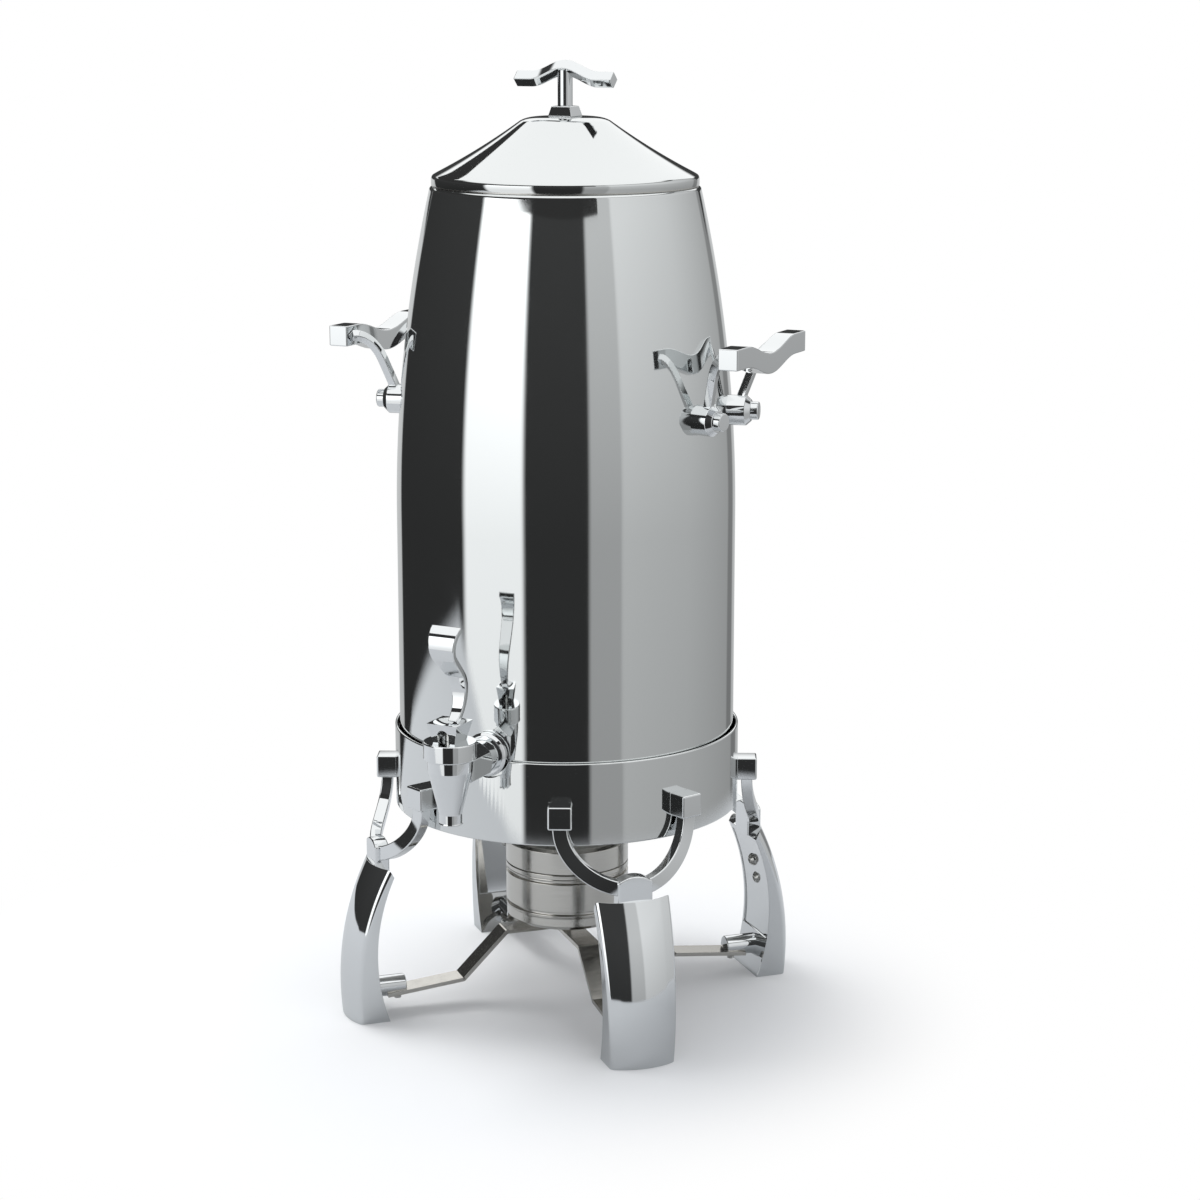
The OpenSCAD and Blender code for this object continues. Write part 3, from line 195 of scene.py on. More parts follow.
world = bpy.data.worlds.new("studio")
bpy.context.scene.world = world
world.use_nodes = True
room = world.node_tree
room.nodes.clear()
way = add(room, "ShaderNodeTexCoord").outputs["Generated"]
turn = turn_of(room, way)
bands = by_turn(room, turn, [(degrees, (light*0.985, light, light*1.005, 1)) for degrees, light in CARDS])
height = add(room, "ShaderNodeSeparateXYZ", None, {0: way}).outputs["Z"]
gain = add(room, "ShaderNodeMapRange", None,
           {"Value": height, "From Min": -0.3, "From Max": 0.3, "To Min": 0.95, "To Max": 1.7})
walls = add(room, "ShaderNodeVectorMath", {"operation": "SCALE"},
            {0: bands, "Scale": gain.outputs["Result"]})
behind = soft_step(room, maths(room, "ABSOLUTE", turn),
                   math.radians(BEHIND_FROM), math.radians(BEHIND_TO))
card_height = maths(room, "MULTIPLY_ADD", behind, sine(CARD_TOP), height)
above_cards = soft_step(room, card_height, sine(CARD_TOP - CARD_BLUR), sine(CARD_TOP + CARD_BLUR))
gap = blend(room, above_cards, walls.outputs["Vector"], GAP_LIGHT)
ceiling_height = maths(room, "MULTIPLY_ADD", behind, sine(CEILING_LOW) - sine(CEILING_LOW_BEHIND), height)
overhead = soft_step(room, ceiling_height, sine(CEILING_LOW), sine(CEILING_LOW + CEILING_BLUR))
cards = blend(room, overhead, gap, CEILING_LIGHT)
rays = add(room, "ShaderNodeLightPath")
lit = blend(room, rays.outputs["Is Glossy Ray"], EVEN_LIGHT, cards)
clear = maths(room, "MAXIMUM", rays.outputs["Is Camera Ray"], rays.outputs["Is Transmission Ray"])
seen = blend(room, clear, lit, PLAIN_WHITE)
backing = add(room, "ShaderNodeBackground", None, {"Color": seen, "Strength": 1.0})
add(room, "ShaderNodeOutputWorld", None, {"Surface": backing.outputs[0]})
print("stops in the ring of cards:", len(CARDS))

# %% [markdown]
# ## Floor
# The floor is a white table. Near the urn it is real, so that the feet mirror
# it and it takes their soft shadow. Further out the camera sees it fade to
# plain white, round a point a little to the left of the urn. Mirrors see the
# table painted slightly greyer, as painted shade, and past its edge they see
# the cards. The table reaches further to the left, where the shell's foot mirrors most of it.

# %% Floor
# Metres: the shadow's middle to the left, and where the fade starts and ends
SHADOW_LEFT, FADE_FROM, FADE_TO = 0.1, 0.24, 0.43
# Turn in degrees, and how far the table reaches there, in metres
TABLE = [(-180, 0.6), (-140, 0.6), (-125, 0.95), (-100, 1.25), (-75, 1.5), (-65, 1.2), (-50, 0.85),
         (-35, 0.65), (-25, 0.6), (180, 0.6)]
# Shares of that reach between which the table's edge goes soft
EDGE_FROM, EDGE_TO = 0.93, 1.1

bpy.ops.object.select_all(action="DESELECT")
bpy.ops.mesh.primitive_plane_add(size=14, location=(0, 0, 0))
floor = bpy.context.object
floor.name = "floor"
floor_paint = blank_material("white_table")
paint = floor_paint.node_tree
spot = add(paint, "ShaderNodeTexCoord").outputs["Object"]
away = measure(paint, "DISTANCE", spot, [-SHADOW_LEFT*part for part in right])
# A ramp's colours stop at 1, so it holds half the reach
half_reach = by_turn(paint, turn_of(paint, spot),
                     [(degrees, (metres/2, metres/2, metres/2, 1)) for degrees, metres in TABLE])
ratio = maths(paint, "DIVIDE", measure(paint, "LENGTH", spot), half_reach)
floor_rays = add(paint, "ShaderNodeLightPath")
fade_on = maths(paint, "MULTIPLY", soft_step(paint, away, FADE_FROM, FADE_TO),
                floor_rays.outputs["Is Camera Ray"])
edge_on = maths(paint, "MULTIPLY", soft_step(paint, ratio, 2*EDGE_FROM, 2*EDGE_TO),
                floor_rays.outputs["Is Glossy Ray"])
# Painted shade: glossy rays see a greyer copy of the table's colour, so the table mirrored in the metal
# looks shaded
floor_shaded_for_mirrors = blend(paint, floor_rays.outputs["Is Glossy Ray"], linear("F4F5F6"), linear("C8CACC"))
matt = add(paint, "ShaderNodeBsdfDiffuse", None, {"Color": floor_shaded_for_mirrors})
white = add(paint, "ShaderNodeEmission", None, {"Color": PLAIN_WHITE, "Strength": 1.0})
gone = add(paint, "ShaderNodeBsdfTransparent")
table_top = add(paint, "ShaderNodeMixShader", None,
                {0: fade_on, 1: matt.outputs[0], 2: white.outputs[0]})
cut_off = add(paint, "ShaderNodeMixShader", None,
              {0: edge_on, 1: table_top.outputs[0], 2: gone.outputs[0]})
add(paint, "ShaderNodeOutputMaterial", None, {"Surface": cut_off.outputs[0]})
floor.data.materials.append(floor_paint)
print("floor stops:", len(TABLE))

# %% [markdown]
# ## Dark cloth
# A strip of dark cloth hangs round the urn above eye height, from behind on
# the left to just right of the camera. Only mirrors see it. It draws the dark
# arc at the top of the shell, where the bands would else run straight up.

# %% Dark cloth
CLOTH_R, CLOTH_DROP, CLOTH_Z = 1.0, 0.36, 1.095
CLOTH_FROM, CLOTH_TO = -160, 26
bpy.ops.mesh.primitive_cylinder_add(vertices=180, radius=CLOTH_R, depth=CLOTH_DROP,
                                    end_fill_type="NOTHING", location=(0, 0, CLOTH_Z))
valance = bpy.context.object
bpy.context.tool_settings.mesh_select_mode = (False, False, True)
for face in valance.data.polygons:
    side_way, front_way = face.center.dot(Vector(right)), face.center.dot(Vector(toward))
    face.select = not CLOTH_FROM < math.degrees(math.atan2(side_way, front_way)) < CLOTH_TO
bpy.ops.object.mode_set(mode="EDIT")
bpy.ops.mesh.delete(type="FACE")
bpy.ops.object.mode_set(mode="OBJECT")
valance.name = "dark_valance"
cloth_paint = blank_material("dark_cloth")
cloth = add(cloth_paint.node_tree, "ShaderNodeEmission", None, {"Color": PLAIN_WHITE, "Strength": 0.035})
add(cloth_paint.node_tree, "ShaderNodeOutputMaterial", None, {"Surface": cloth.outputs[0]})
valance.data.materials.append(cloth_paint)
valance.visible_camera = valance.visible_diffuse = False
valance.visible_shadow = valance.visible_transmission = False
print("cloth faces:", len(valance.data.polygons))

# %% [markdown]
# ## Lamp
# One large round lamp, high at the left, gives the floor its soft shadow. It
# is hidden from mirrors, so it leaves no bright disc on the metal.

# %% Lamp
lamp_data = bpy.data.lights.new("soft_lamp", "AREA")
lamp_data.shape = "DISK"
lamp_data.size = 1.5
lamp_data.energy = 26
lamp = bpy.data.objects.new("soft_lamp", lamp_data)
bpy.context.scene.collection.objects.link(lamp)
lamp.location = (-1.2, 0.1, 2.1)
lamp_aim = Vector((0, 0, 0.2))
lamp.rotation_euler = (lamp_aim - lamp.location).to_track_quat("-Z", "Y").to_euler()
lamp.visible_glossy = False
print("lamp energy:", lamp_data.energy)

# %% [markdown]
# ## Finishes
# The shell, ring and lid are sheets of stainless steel, rolled, welded and
# polished to a mirror. The legs, yokes, handles and tap are castings that
# were polished and plated. Both are full metal with a very low roughness. A
# real polish is never perfect, so a broad, faint noise moves the roughness
# a little, and a long shallow wave of the surface bends the reflections.

# %% Polished finishes
def close_material(made, tint, metallic, roughness, normal):
    tree = made.node_tree
    body = add(tree, "ShaderNodeBsdfPrincipled", None,
               {"Base Color": linear(tint), "Metallic": metallic, "Roughness": roughness, "Normal": normal})
    add(tree, "ShaderNodeOutputMaterial", None, {"Surface": body.outputs[0]})
    return made


def mirror(name, tint, smooth, smudge, wave_mm, wave_depth_mm):
    made = blank_material(name)
    tree = made.node_tree
    place = add(tree, "ShaderNodeTexCoord").outputs["Object"]
    haze = add(tree, "ShaderNodeTexNoise", None,
               {"Vector": place, "Scale": 1/(35*MM), "Detail": 5, "Roughness": 0.6})
    polish = add(tree, "ShaderNodeMapRange", None,
                 {"Value": haze.outputs["Fac"], "From Min": 0.35, "From Max": 0.75,
                  "To Min": smooth, "To Max": smooth + smudge})
    swell = add(tree, "ShaderNodeTexNoise", None,
                {"Vector": place, "Scale": 1/(wave_mm*MM), "Detail": 0})
    skin = add(tree, "ShaderNodeBump", None,
               {"Strength": 1.0, "Distance": wave_depth_mm*MM, "Height": swell.outputs["Fac"]})
    return close_material(made, tint, 1.0, polish.outputs["Result"], skin.outputs["Normal"])


polished_sheet = mirror("polished_stainless_sheet", "E2E4E4", 0.035, 0.03, 70, 0.02)
polished_casting = mirror("polished_plated_casting", "E6E8E9", 0.03, 0.025, 30, 0.012)
print("mirror finishes:", polished_sheet.name, polished_casting.name)

# %% [markdown]
# The burner and its straps are stainless steel with a satin finish from a
# belt or a wheel. The grit leaves fine lines, about 0.2 mm apart. They are
# drawn 0.6 to 1.1 mm apart so that they show, as level lines that run round
# the turned pieces. The steel looks a little warm.

# %% Satin finishes
def satin(name, tint, rough, stretch, depth_mm):
    made = blank_material(name)
    tree = made.node_tree
    place = add(tree, "ShaderNodeTexCoord").outputs["Object"]
    drawn = add(tree, "ShaderNodeMapping", None, {"Vector": place, "Scale": stretch})
    lines = add(tree, "ShaderNodeTexNoise", None,
                {"Vector": drawn.outputs["Vector"], "Scale": 1.0, "Detail": 3, "Roughness": 0.6})
    grain = add(tree, "ShaderNodeMapRange", None,
                {"Value": lines.outputs["Fac"], "From Min": 0.3, "From Max": 0.7,
                 "To Min": rough - 0.05, "To Max": rough + 0.08})
    skin = add(tree, "ShaderNodeBump", None,
               {"Strength": 0.15, "Distance": depth_mm*MM, "Height": lines.outputs["Fac"]})
    return close_material(made, tint, 1.0, grain.outputs["Result"], skin.outputs["Normal"])


satin_turned = satin("satin_steel_turned", "C9C7C2", 0.18, (30, 30, 1600), 0.008)
satin_strap = satin("satin_steel_strap", "CCC9C3", 0.18, (120, 120, 900), 0.008)
inner_steel = satin("satin_steel_inside", "CDCCC8", 0.28, (40, 40, 1200), 0.01)
plain_steel = satin("bright_steel_hardware", "C9C9C6", 0.20, (400, 400, 400), 0.01)
tin = satin("tinned_can", "BDB7AA", 0.34, (200, 200, 200), 0.02)
print("satin finishes:", satin_turned.name, satin_strap.name, inner_steel.name)

# %% [markdown]
# The gaskets and the cup that closes the tap are silicone rubber: dark, with
# a dull skin that has a fine moulded grain.

# %% Silicone
silicone = blank_material("moulded_silicone")
soft = silicone.node_tree
soft_place = add(soft, "ShaderNodeTexCoord").outputs["Object"]
soft_grain = add(soft, "ShaderNodeTexNoise", None, {"Vector": soft_place, "Scale": 1/(0.6*MM), "Detail": 2})
soft_skin = add(soft, "ShaderNodeBump", None,
                {"Strength": 0.5, "Distance": 0.03*MM, "Height": soft_grain.outputs["Fac"]})
close_material(silicone, "2B2C2D", 0.0, 0.6, soft_skin.outputs["Normal"])
print("gaskets:", silicone.name)

# %% [markdown]
# ## Working helpers
# These do what a hand does with the mouse: start with nothing picked, apply a
# modifier, place a piece, and hand it to the frame. A finished piece gets its
# normals weighted by face area, so that large flat faces stay flat in the
# mirror and only the rounded edges bend the light.

# %% Helpers for pieces
def begin():
    if bpy.context.object and bpy.context.object.mode != "OBJECT":
        bpy.ops.object.mode_set(mode="OBJECT")
    bpy.ops.object.select_all(action="DESELECT")


def pick(piece):
    begin()
    piece.select_set(True)
    bpy.context.view_layer.objects.active = piece
    return piece


def change(piece, kind, **settings):
    pick(piece)
    step = piece.modifiers.new(kind.lower(), kind)
    for name, value in settings.items():
        setattr(step, name, value)
    bpy.ops.object.modifier_apply(modifier=step.name)
    return piece


def settle(piece):
    pick(piece)
    bpy.ops.object.transform_apply(location=True, rotation=True, scale=True)
    return piece


def turn_copy(piece, name, degrees):
    twin = piece.copy()
    twin.data = piece.data.copy()
    twin.name = name
    bpy.context.scene.collection.objects.link(twin)
    twin.rotation_euler = (0, 0, math.radians(degrees))
    return settle(twin)


def join(pieces, name):
    pick(pieces[0])
    for piece in pieces[1:]:
        piece.select_set(True)
    bpy.ops.object.join()
    joined = bpy.context.object
    joined.name = name
    return joined


def round_edges(piece, width_mm, segments=3, angle=35):
    return change(piece, "BEVEL", width=width_mm*MM, segments=segments, limit_method="ANGLE",
                  angle_limit=math.radians(angle), use_clamp_overlap=True)


def hand_over(piece, body, material, slot, *nodes):
    settle(piece)
    piece.data.materials.clear()
    piece.data.materials.append(material)
    bpy.ops.object.shade_smooth()
    change(piece, "WEIGHTED_NORMAL", mode="FACE_AREA", weight=50, keep_sharp=False)
    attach(piece, body)
    if nodes:
        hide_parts(*nodes)
    print(piece.name, "faces:", len(piece.data.polygons))
    return piece


# %% [markdown]
# ## Turned pieces
# Most of the urn was made on a spinning lathe or wheel, and it can be made
# that way here too: a line of points is drawn beside the axis by extruding
# one point again and again, and Spin carries it round. The corners of the
# line are eased first, because spun and polished metal has no knife edge. A
# corner that hardly bends gets two close points instead of an arc.
#
# The easing has a known fault, found too late to mend. slerp gives vectors of
# length 1, so every arc lies 1 mm from its middle, whatever radius is asked
# for. A corner asked at 0.5 stands 0.5 mm out of its faces, and a bend asked
# at 7 lies 6 mm inside its own. Each slerp times reach would be right.

# %% Helpers for turned pieces
SLIGHT_BEND, CLOSE_MM = 0.3, 0.4


def eased(points, radius, closed=True, steps=4):
    made = []
    count = len(points)
    for i, here in enumerate(points):
        at = Vector((here[0], here[1], 0))
        if not closed and i in (0, count - 1):
            made.append(at)
            continue
        before, after = points[i - 1], points[(i + 1) % count]
        back = Vector((before[0], before[1], 0)) - at
        on = Vector((after[0], after[1], 0)) - at
        bend = back.angle(on)
        if math.pi - bend < SLIGHT_BEND:
            near = min(CLOSE_MM, back.length*0.3, on.length*0.3)
            made += [at + back.normalized()*near, at + on.normalized()*near]
            continue
        cut = min(radius/math.tan(bend/2), back.length*0.42, on.length*0.42)
        reach = cut*math.tan(bend/2)
        back.normalize()
        on.normalize()
        middle = at + (back + on).normalized()*reach/math.sin(bend/2)
        first, last = at + back*cut - middle, at + on*cut - middle
        made += [middle + first.slerp(last, k/steps) for k in range(steps + 1)]
    return [(p[0], p[1]) for p in made]


def turned(name, points, steps=192, closed=True):
    begin()
    bpy.ops.mesh.primitive_plane_add(size=0.001, location=(0, 0, 0))
    piece = bpy.context.object
    piece.name = name
    bpy.ops.object.mode_set(mode="EDIT")
    bpy.ops.mesh.select_mode(type="VERT")
    bpy.ops.mesh.select_all(action="SELECT")
    bpy.ops.mesh.merge(type="CENTER")
    bpy.ops.transform.translate(value=(points[0][0]*MM, 0, points[0][1]*MM))
    ends = points[1:] + (points[:1] if closed else [])
    for a, b in zip(points, ends):
        bpy.ops.mesh.extrude_region_move(
            TRANSFORM_OT_translate={"value": ((b[0] - a[0])*MM, 0, (b[1] - a[1])*MM)})
    bpy.ops.mesh.select_all(action="SELECT")
    bpy.ops.mesh.spin(steps=steps, angle=2*math.pi, center=(0, 0, 0), axis=(0, 0, 1))
    bpy.ops.mesh.select_all(action="SELECT")
    bpy.ops.mesh.remove_doubles(threshold=2e-6)
    bpy.ops.mesh.dissolve_degenerate(threshold=1e-7)
    bpy.ops.mesh.select_all(action="SELECT")
    bpy.ops.mesh.normals_make_consistent(inside=False)
    bpy.ops.object.mode_set(mode="OBJECT")
    return piece


print("points of a square with eased corners:", len(eased([(0, 0), (9, 0), (9, 9), (0, 9)], 1)))

# %% [markdown]
# ## Outer shell
# One sheet, rolled to a tube and spun in towards the top along a very long
# curve. It ends in a rounded edge that turns in. The wall is 1.2 mm thick.
# Many points on the curve keep the reflected bands smooth.

# %% Outer shell
BODY_R, URN_Z, TOP_Z = 125.8, 168.0, 616.0
SHOULDER_Z, SHOULDER_R, SHELL_T = 375.0, 1077.0, 1.2
EDGE_R = 3.0


def shell_radius(z):
    if z <= SHOULDER_Z:
        return BODY_R
    return BODY_R - SHOULDER_R + math.sqrt(SHOULDER_R**2 - (z - SHOULDER_Z)**2)


edge_z = TOP_Z - EDGE_R
edge_centre = shell_radius(edge_z) - EDGE_R
levels = [URN_Z + (SHOULDER_Z - URN_Z)*k/6 for k in range(7)]
levels += [SHOULDER_Z + (edge_z - SHOULDER_Z)*k/30 for k in range(1, 31)]
outside = [(shell_radius(z), z) for z in levels]
bead = [(edge_centre + EDGE_R*cosine(a), edge_z + EDGE_R*sine(a)) for a in range(15, 91, 15)]
turn_in = [(edge_centre, TOP_Z - SHELL_T), (edge_centre + EDGE_R - SHELL_T, edge_z)]
inside = [(shell_radius(z) - SHELL_T, z) for z in reversed(levels[:-1])]
shell = turned("outer_shell_polished", outside + bead + turn_in + inside, steps=256)
hand_over(shell, "urn", polished_sheet, "mirror_steel", "outer_shell")

# %% [markdown]
# ## Mouth ring
# A flat ring closes the gap between the shell and the vessel, and its lip
# hangs down inside the mouth. It shows when the lid is off.

# %% Mouth ring
MOUTH_WIDE, LIP_DROP = 5.5, 10
lip_r = edge_centre - MOUTH_WIDE
ring_profile = [(lip_r, TOP_Z - LIP_DROP), (lip_r + SHELL_T, TOP_Z - LIP_DROP),
                (lip_r + SHELL_T, TOP_Z - SHELL_T), (edge_centre, TOP_Z - SHELL_T),
                (edge_centre, TOP_Z), (lip_r, TOP_Z)]
mouth = turned("mouth_ring_polished", eased(ring_profile, 0.5))
hand_over(mouth, "urn", polished_sheet, "mirror_steel", "mouth_ring")

# %% [markdown]
# ## Lid
# The lid is spun from one sheet: an upright rim whose upper corner is rolled
# to a bead, a slightly hollow cone, and a flat top with a soft shoulder. The
# shoulder is a curve drawn towards a knee point, which keeps it smooth where
# it leaves the cone.

# %% Lid
LID_R, LID_Z, RIM_TOP, LID_TOP, LID_T = shell_radius(TOP_Z) - 0.9, 617.0, 623.5, 665.5, 1.38
RIM_BEAD_R, RIM_BEAD_Z = 3.5, 621.2
CONE_SAG, KNEE_DROP = 1.4, 3.12


def drawn_curve(first, knee, last, share):
    return first*(1 - share)**2 + knee*2*share*(1 - share) + last*share*share


cone_out, cone_in = Vector((LID_R - 1.2, RIM_TOP + 0.6)), Vector((33.0, LID_TOP - KNEE_DROP))
slope = cone_in - cone_out
sag = Vector((slope[1], -slope[0])).normalized()*-CONE_SAG
cone = [tuple(cone_out + slope*k/18 + sag*4*(k/18)*(1 - k/18)) for k in range(1, 19)]
knee, flat = cone_in + Vector((-5.35, KNEE_DROP)), Vector((cone_in[0] - 14.26, LID_TOP))
shoulder = [tuple(drawn_curve(cone_in, knee, flat, k/10)) for k in range(1, 11)]
rim_bead = [(LID_R - RIM_BEAD_R + RIM_BEAD_R*cosine(a), RIM_BEAD_Z + RIM_BEAD_R*sine(a))
            for a in range(0, 61, 10)]
outer_line = [(LID_R, LID_Z)] + rim_bead + cone + shoulder + [(0, LID_TOP)]
inner_line = [(0, LID_TOP - LID_T)] + [(r, z - LID_T) for r, z in reversed(cone + shoulder)]
rim_inside = [(LID_R - 1.2, RIM_TOP - 1.0), (LID_R - 1.2, LID_Z)]
lid = turned("lid_polished", outer_line + inner_line + rim_inside, steps=224)
hand_over(lid, "lid", polished_sheet, "mirror_steel", "lid_shell")

# %% [markdown]
# ## Knob
# A small square foot, a round stem and a wavy bar. The bar's section is a
# square set on its edge, so it catches light on two faces. The foot starts as
# a cube whose top is drawn in, and its edges are beveled.

# %% Knob foot and stem
def box(name, size_mm, place_mm):
    begin()
    bpy.ops.mesh.primitive_cube_add(size=1, location=[v*MM for v in place_mm])
    made = bpy.context.object
    made.name = name
    made.scale = [v*MM for v in size_mm]
    return settle(made)


def select_only(piece, kind, wanted):
    pick(piece)
    bpy.ops.object.mode_set(mode="EDIT")
    bpy.ops.mesh.select_all(action="DESELECT")
    bpy.ops.object.mode_set(mode="OBJECT")
    bpy.context.tool_settings.mesh_select_mode = (False, kind == "EDGE", kind == "FACE")
    for part in piece.data.edges if kind == "EDGE" else piece.data.polygons:
        part.select = wanted(part)
    bpy.ops.object.mode_set(mode="EDIT")


def scale_top(piece, factor):
    select_only(piece, "FACE", lambda face: face.normal.z > 0.9)
    bpy.ops.transform.resize(value=(factor, factor, 1))
    bpy.ops.object.mode_set(mode="OBJECT")


FOOT_W, FOOT_TOP_W, FOOT_H = 19, 15, 7.5
knob_foot = box("knob_foot_polished", (FOOT_W, FOOT_W, FOOT_H), (0, 0, LID_TOP + FOOT_H/2))
scale_top(knob_foot, FOOT_TOP_W/FOOT_W)
round_edges(knob_foot, 0.7)
hand_over(knob_foot, "lid", polished_casting, "mirror_steel", "knob_base")

stem_profile = eased([(0, 673), (5, 673), (5, 698.8), (0, 698.8)], 0.5, closed=False)
knob_stem = turned("knob_stem_polished", stem_profile, steps=64, closed=False)
hand_over(knob_stem, "lid", polished_casting, "mirror_steel", "knob_stem")

# %% [markdown]
# ## Bent bars
# The knob's bar, the handle grips and arms, the yokes, the lever's blade and
# the straps are all bars that follow a line. Each starts as a cube that is
# cut into slices along its length. Then every slice is moved to its place on
# the line. Moving the slices by rule keeps the section true along the bend,
# which a free hand can't, and the mirror would show it. A list of directions
# across the bar twists it on its way.

# %% Helpers for bars
def runs_along(piece, line, axis):
    one, other = (piece.data.vertices[number].co for number in line.vertices)
    return abs(one[axis] - other[axis]) > 1e-4


def sliced_cube(name, cuts):
    begin()
    bpy.ops.mesh.primitive_cube_add(size=2, location=(0, 0, 0))
    piece = bpy.context.object
    piece.name = name
    for axis, number in enumerate(cuts):
        if number > 0:
            select_only(piece, "EDGE", lambda line: runs_along(piece, line, axis))
            bpy.ops.mesh.subdivide(number_cuts=number)
            bpy.ops.object.mode_set(mode="OBJECT")
    return piece


def at_step(value, step):
    return value[step] if isinstance(value, list) else value


def bar(name, line, across, wide, thick, up=None, on_edge=False):
    line = [Vector(p) for p in line]
    last = len(line) - 1
    piece = sliced_cube(name, (last - 1, 0, 0))
    for point in piece.data.vertices:
        step = round((point.co.x + 1)/2*last)
        b, c = point.co.y, point.co.z
        if on_edge:
            b, c = (b + c)/2, (c - b)/2
        run = (line[min(step + 1, last)] - line[max(step - 1, 0)]).normalized()
        face = Vector(at_step(across, step)).normalized()
        lift = Vector(up) if up else run.cross(face).normalized()
        if isinstance(across, list):
            face = lift.cross(run)
        half_wide, half_thick = at_step(wide, step)/2, at_step(thick, step)/2
        point.co = (line[step] + face*b*half_wide + lift*c*half_thick)*MM
    pick(piece)
    bpy.ops.object.mode_set(mode="EDIT")
    bpy.ops.mesh.select_all(action="SELECT")
    bpy.ops.mesh.normals_make_consistent(inside=False)
    bpy.ops.object.mode_set(mode="OBJECT")
    return piece


def wave(half, run, steps, end_z, middle_z):
    line = []
    for k in range(steps + 1):
        x = -half + 2*half*k/steps
        inward = max(0, 1 - abs(x)/run)
        line.append((x, end_z + (middle_z - end_z)*(1 - math.cos(math.pi*inward))/2))
    return line


print("a wave from end to end:", [round(z, 1) for x, z in wave(40, 30, 4, 0, 8)])

# %% [markdown]
# The knob bar's middle stands 8 mm above its ends, and its last 12 mm are
# flat.

# %% Knob bar
wave_line = [(x, 0, z) for x, z in wave(39, 27, 48, 692, 700)]
knob_bar = bar("knob_bar_polished", wave_line, (0, 1, 0), 13, 12, up=(0, 0, 1), on_edge=True)
round_edges(knob_bar, 0.7)
hand_over(knob_bar, "lid", polished_casting, "mirror_steel", "knob_bar")

# %% [markdown]
# ## Side handles
# Each handle is two hubs on the shell, two arms that rise and spread, and a
# square grip with a dip in its middle. A round cap screw closes each hub.
# The right handle is made first, and the left one is the same turned half
# round, because each handle is its own mirror image.

# %% Handle grip
GRIP_X, GRIP_Z, GRIP_HALF, GRIP_W, GRIP_DIP = 156.8, 504.5, 63, 15, 9
grip_line = [(GRIP_X, y, z) for y, z in wave(GRIP_HALF, 45, 56, GRIP_Z, GRIP_Z - GRIP_DIP)]
grip = bar("right_grip_polished", grip_line, (1, 0, 0), GRIP_W, GRIP_W, up=(0, 0, 1))
round_edges(grip, 0.9)
left_grip = turn_copy(grip, "left_grip_polished", 180)
hand_over(grip, "urn", polished_casting, "mirror_steel", "handle_grip_right")
hand_over(left_grip, "urn", polished_casting, "mirror_steel", "handle_grip_left")

# %% [markdown]
# An arm leaves its hub upwards and outwards and then curls into the grip.
# It is a square bar on its edge, like the knob's.

# %% Handle arms
HUB_Z, HUB_TURN, HUB_LONG = 455.5, 12.7, 16
hub_wall = shell_radius(HUB_Z)
hub_end = hub_wall + HUB_LONG
ARM_Y, ARM_W, BEND_X, BEND_SHARE = 54, 8.6, 149.3, 0.56
foot_reach = hub_wall + 7.2
foot = Vector((foot_reach*cosine(HUB_TURN), foot_reach*sine(HUB_TURN), 460.75))
tip = Vector((150.2, ARM_Y, GRIP_Z))
elbow = Vector((foot.x + (BEND_X - foot.x)*BEND_SHARE, foot.y + (ARM_Y - foot.y)*BEND_SHARE, GRIP_Z))
start = foot.lerp(elbow, 0.55)
arm_line = [foot, foot.lerp(start, 0.5)]
arm_line += [drawn_curve(start, elbow, tip, k/18) for k in range(19)]
spread = Vector((tip.x - foot.x, tip.y - foot.y, 0)).normalized()
arm_far = bar("arm_far", arm_line, (-spread.y, spread.x, 0), ARM_W, ARM_W, on_edge=True)
near_line = [(p.x, -p.y, p.z) for p in arm_line]
arm_near = bar("arm_near", near_line, (spread.y, spread.x, 0), ARM_W, ARM_W, on_edge=True)
arms = join([arm_far, arm_near], "right_arms_polished")
round_edges(arms, 0.6)
left_arms = turn_copy(arms, "left_arms_polished", 180)
hand_over(arms, "urn", polished_casting, "mirror_steel", "handle_arms_right")
hand_over(left_arms, "urn", polished_casting, "mirror_steel", "handle_arms_left")

# %% [markdown]
# A hub is turned: a short thick cylinder with a chamfered end. Its inner end
# stands a little inside the shell's outer face, so that no gap shows. Turned
# pieces stand upright at first, so these are laid along the X axis, lifted
# and swung round to their places.

# %% Handle hubs and cap screws
def lay_along_x(piece, z_mm, degrees=0):
    piece.rotation_euler = (0, math.radians(90), 0)
    settle(piece)
    piece.location = (0, 0, z_mm*MM)
    settle(piece)
    piece.rotation_euler = (0, 0, math.radians(degrees))
    return settle(piece)


def ring_of(name, profile, steps, turns, z):
    made = []
    for number, degrees in enumerate(turns):
        one = turned(f"{name}_{number}", profile, steps=steps, closed=False)
        made.append(lay_along_x(one, z, degrees))
    return join(made, name)


hub_profile = eased([(0, hub_wall - 1.1), (10.5, hub_wall - 1.1), (10.5, hub_end - 3.5), (7.4, hub_end),
                     (0, hub_end)], 0.5, closed=False)
cap_profile = eased([(0, hub_end - 1), (6.5, hub_end - 1), (6.5, hub_end + 6), (0, hub_end + 6)], 0.9,
                    closed=False)
hubs = ring_of("right_hubs_polished", hub_profile, 72, (-HUB_TURN, HUB_TURN), HUB_Z)
left_hubs = turn_copy(hubs, "left_hubs_polished", 180)
hand_over(hubs, "urn", polished_casting, "mirror_steel", "handle_hubs_right")
hand_over(left_hubs, "urn", polished_casting, "mirror_steel", "handle_hubs_left")
caps = ring_of("cap_screws_polished", cap_profile, 64,
               (-HUB_TURN, HUB_TURN, 180 - HUB_TURN, 180 + HUB_TURN), HUB_Z)
hand_over(caps, "urn", polished_casting, "mirror_steel", "handle_cap_screws")

# %% [markdown]
# ## Stand ring
# A hoop of polished sheet with rounded edges. A notch, open at the top,
# leaves room for the tap's flange when the urn is lifted out. The tap's axis
# lies just above the hoop's edge, so a Boolean with a level rod on that axis
# cuts the whole notch.

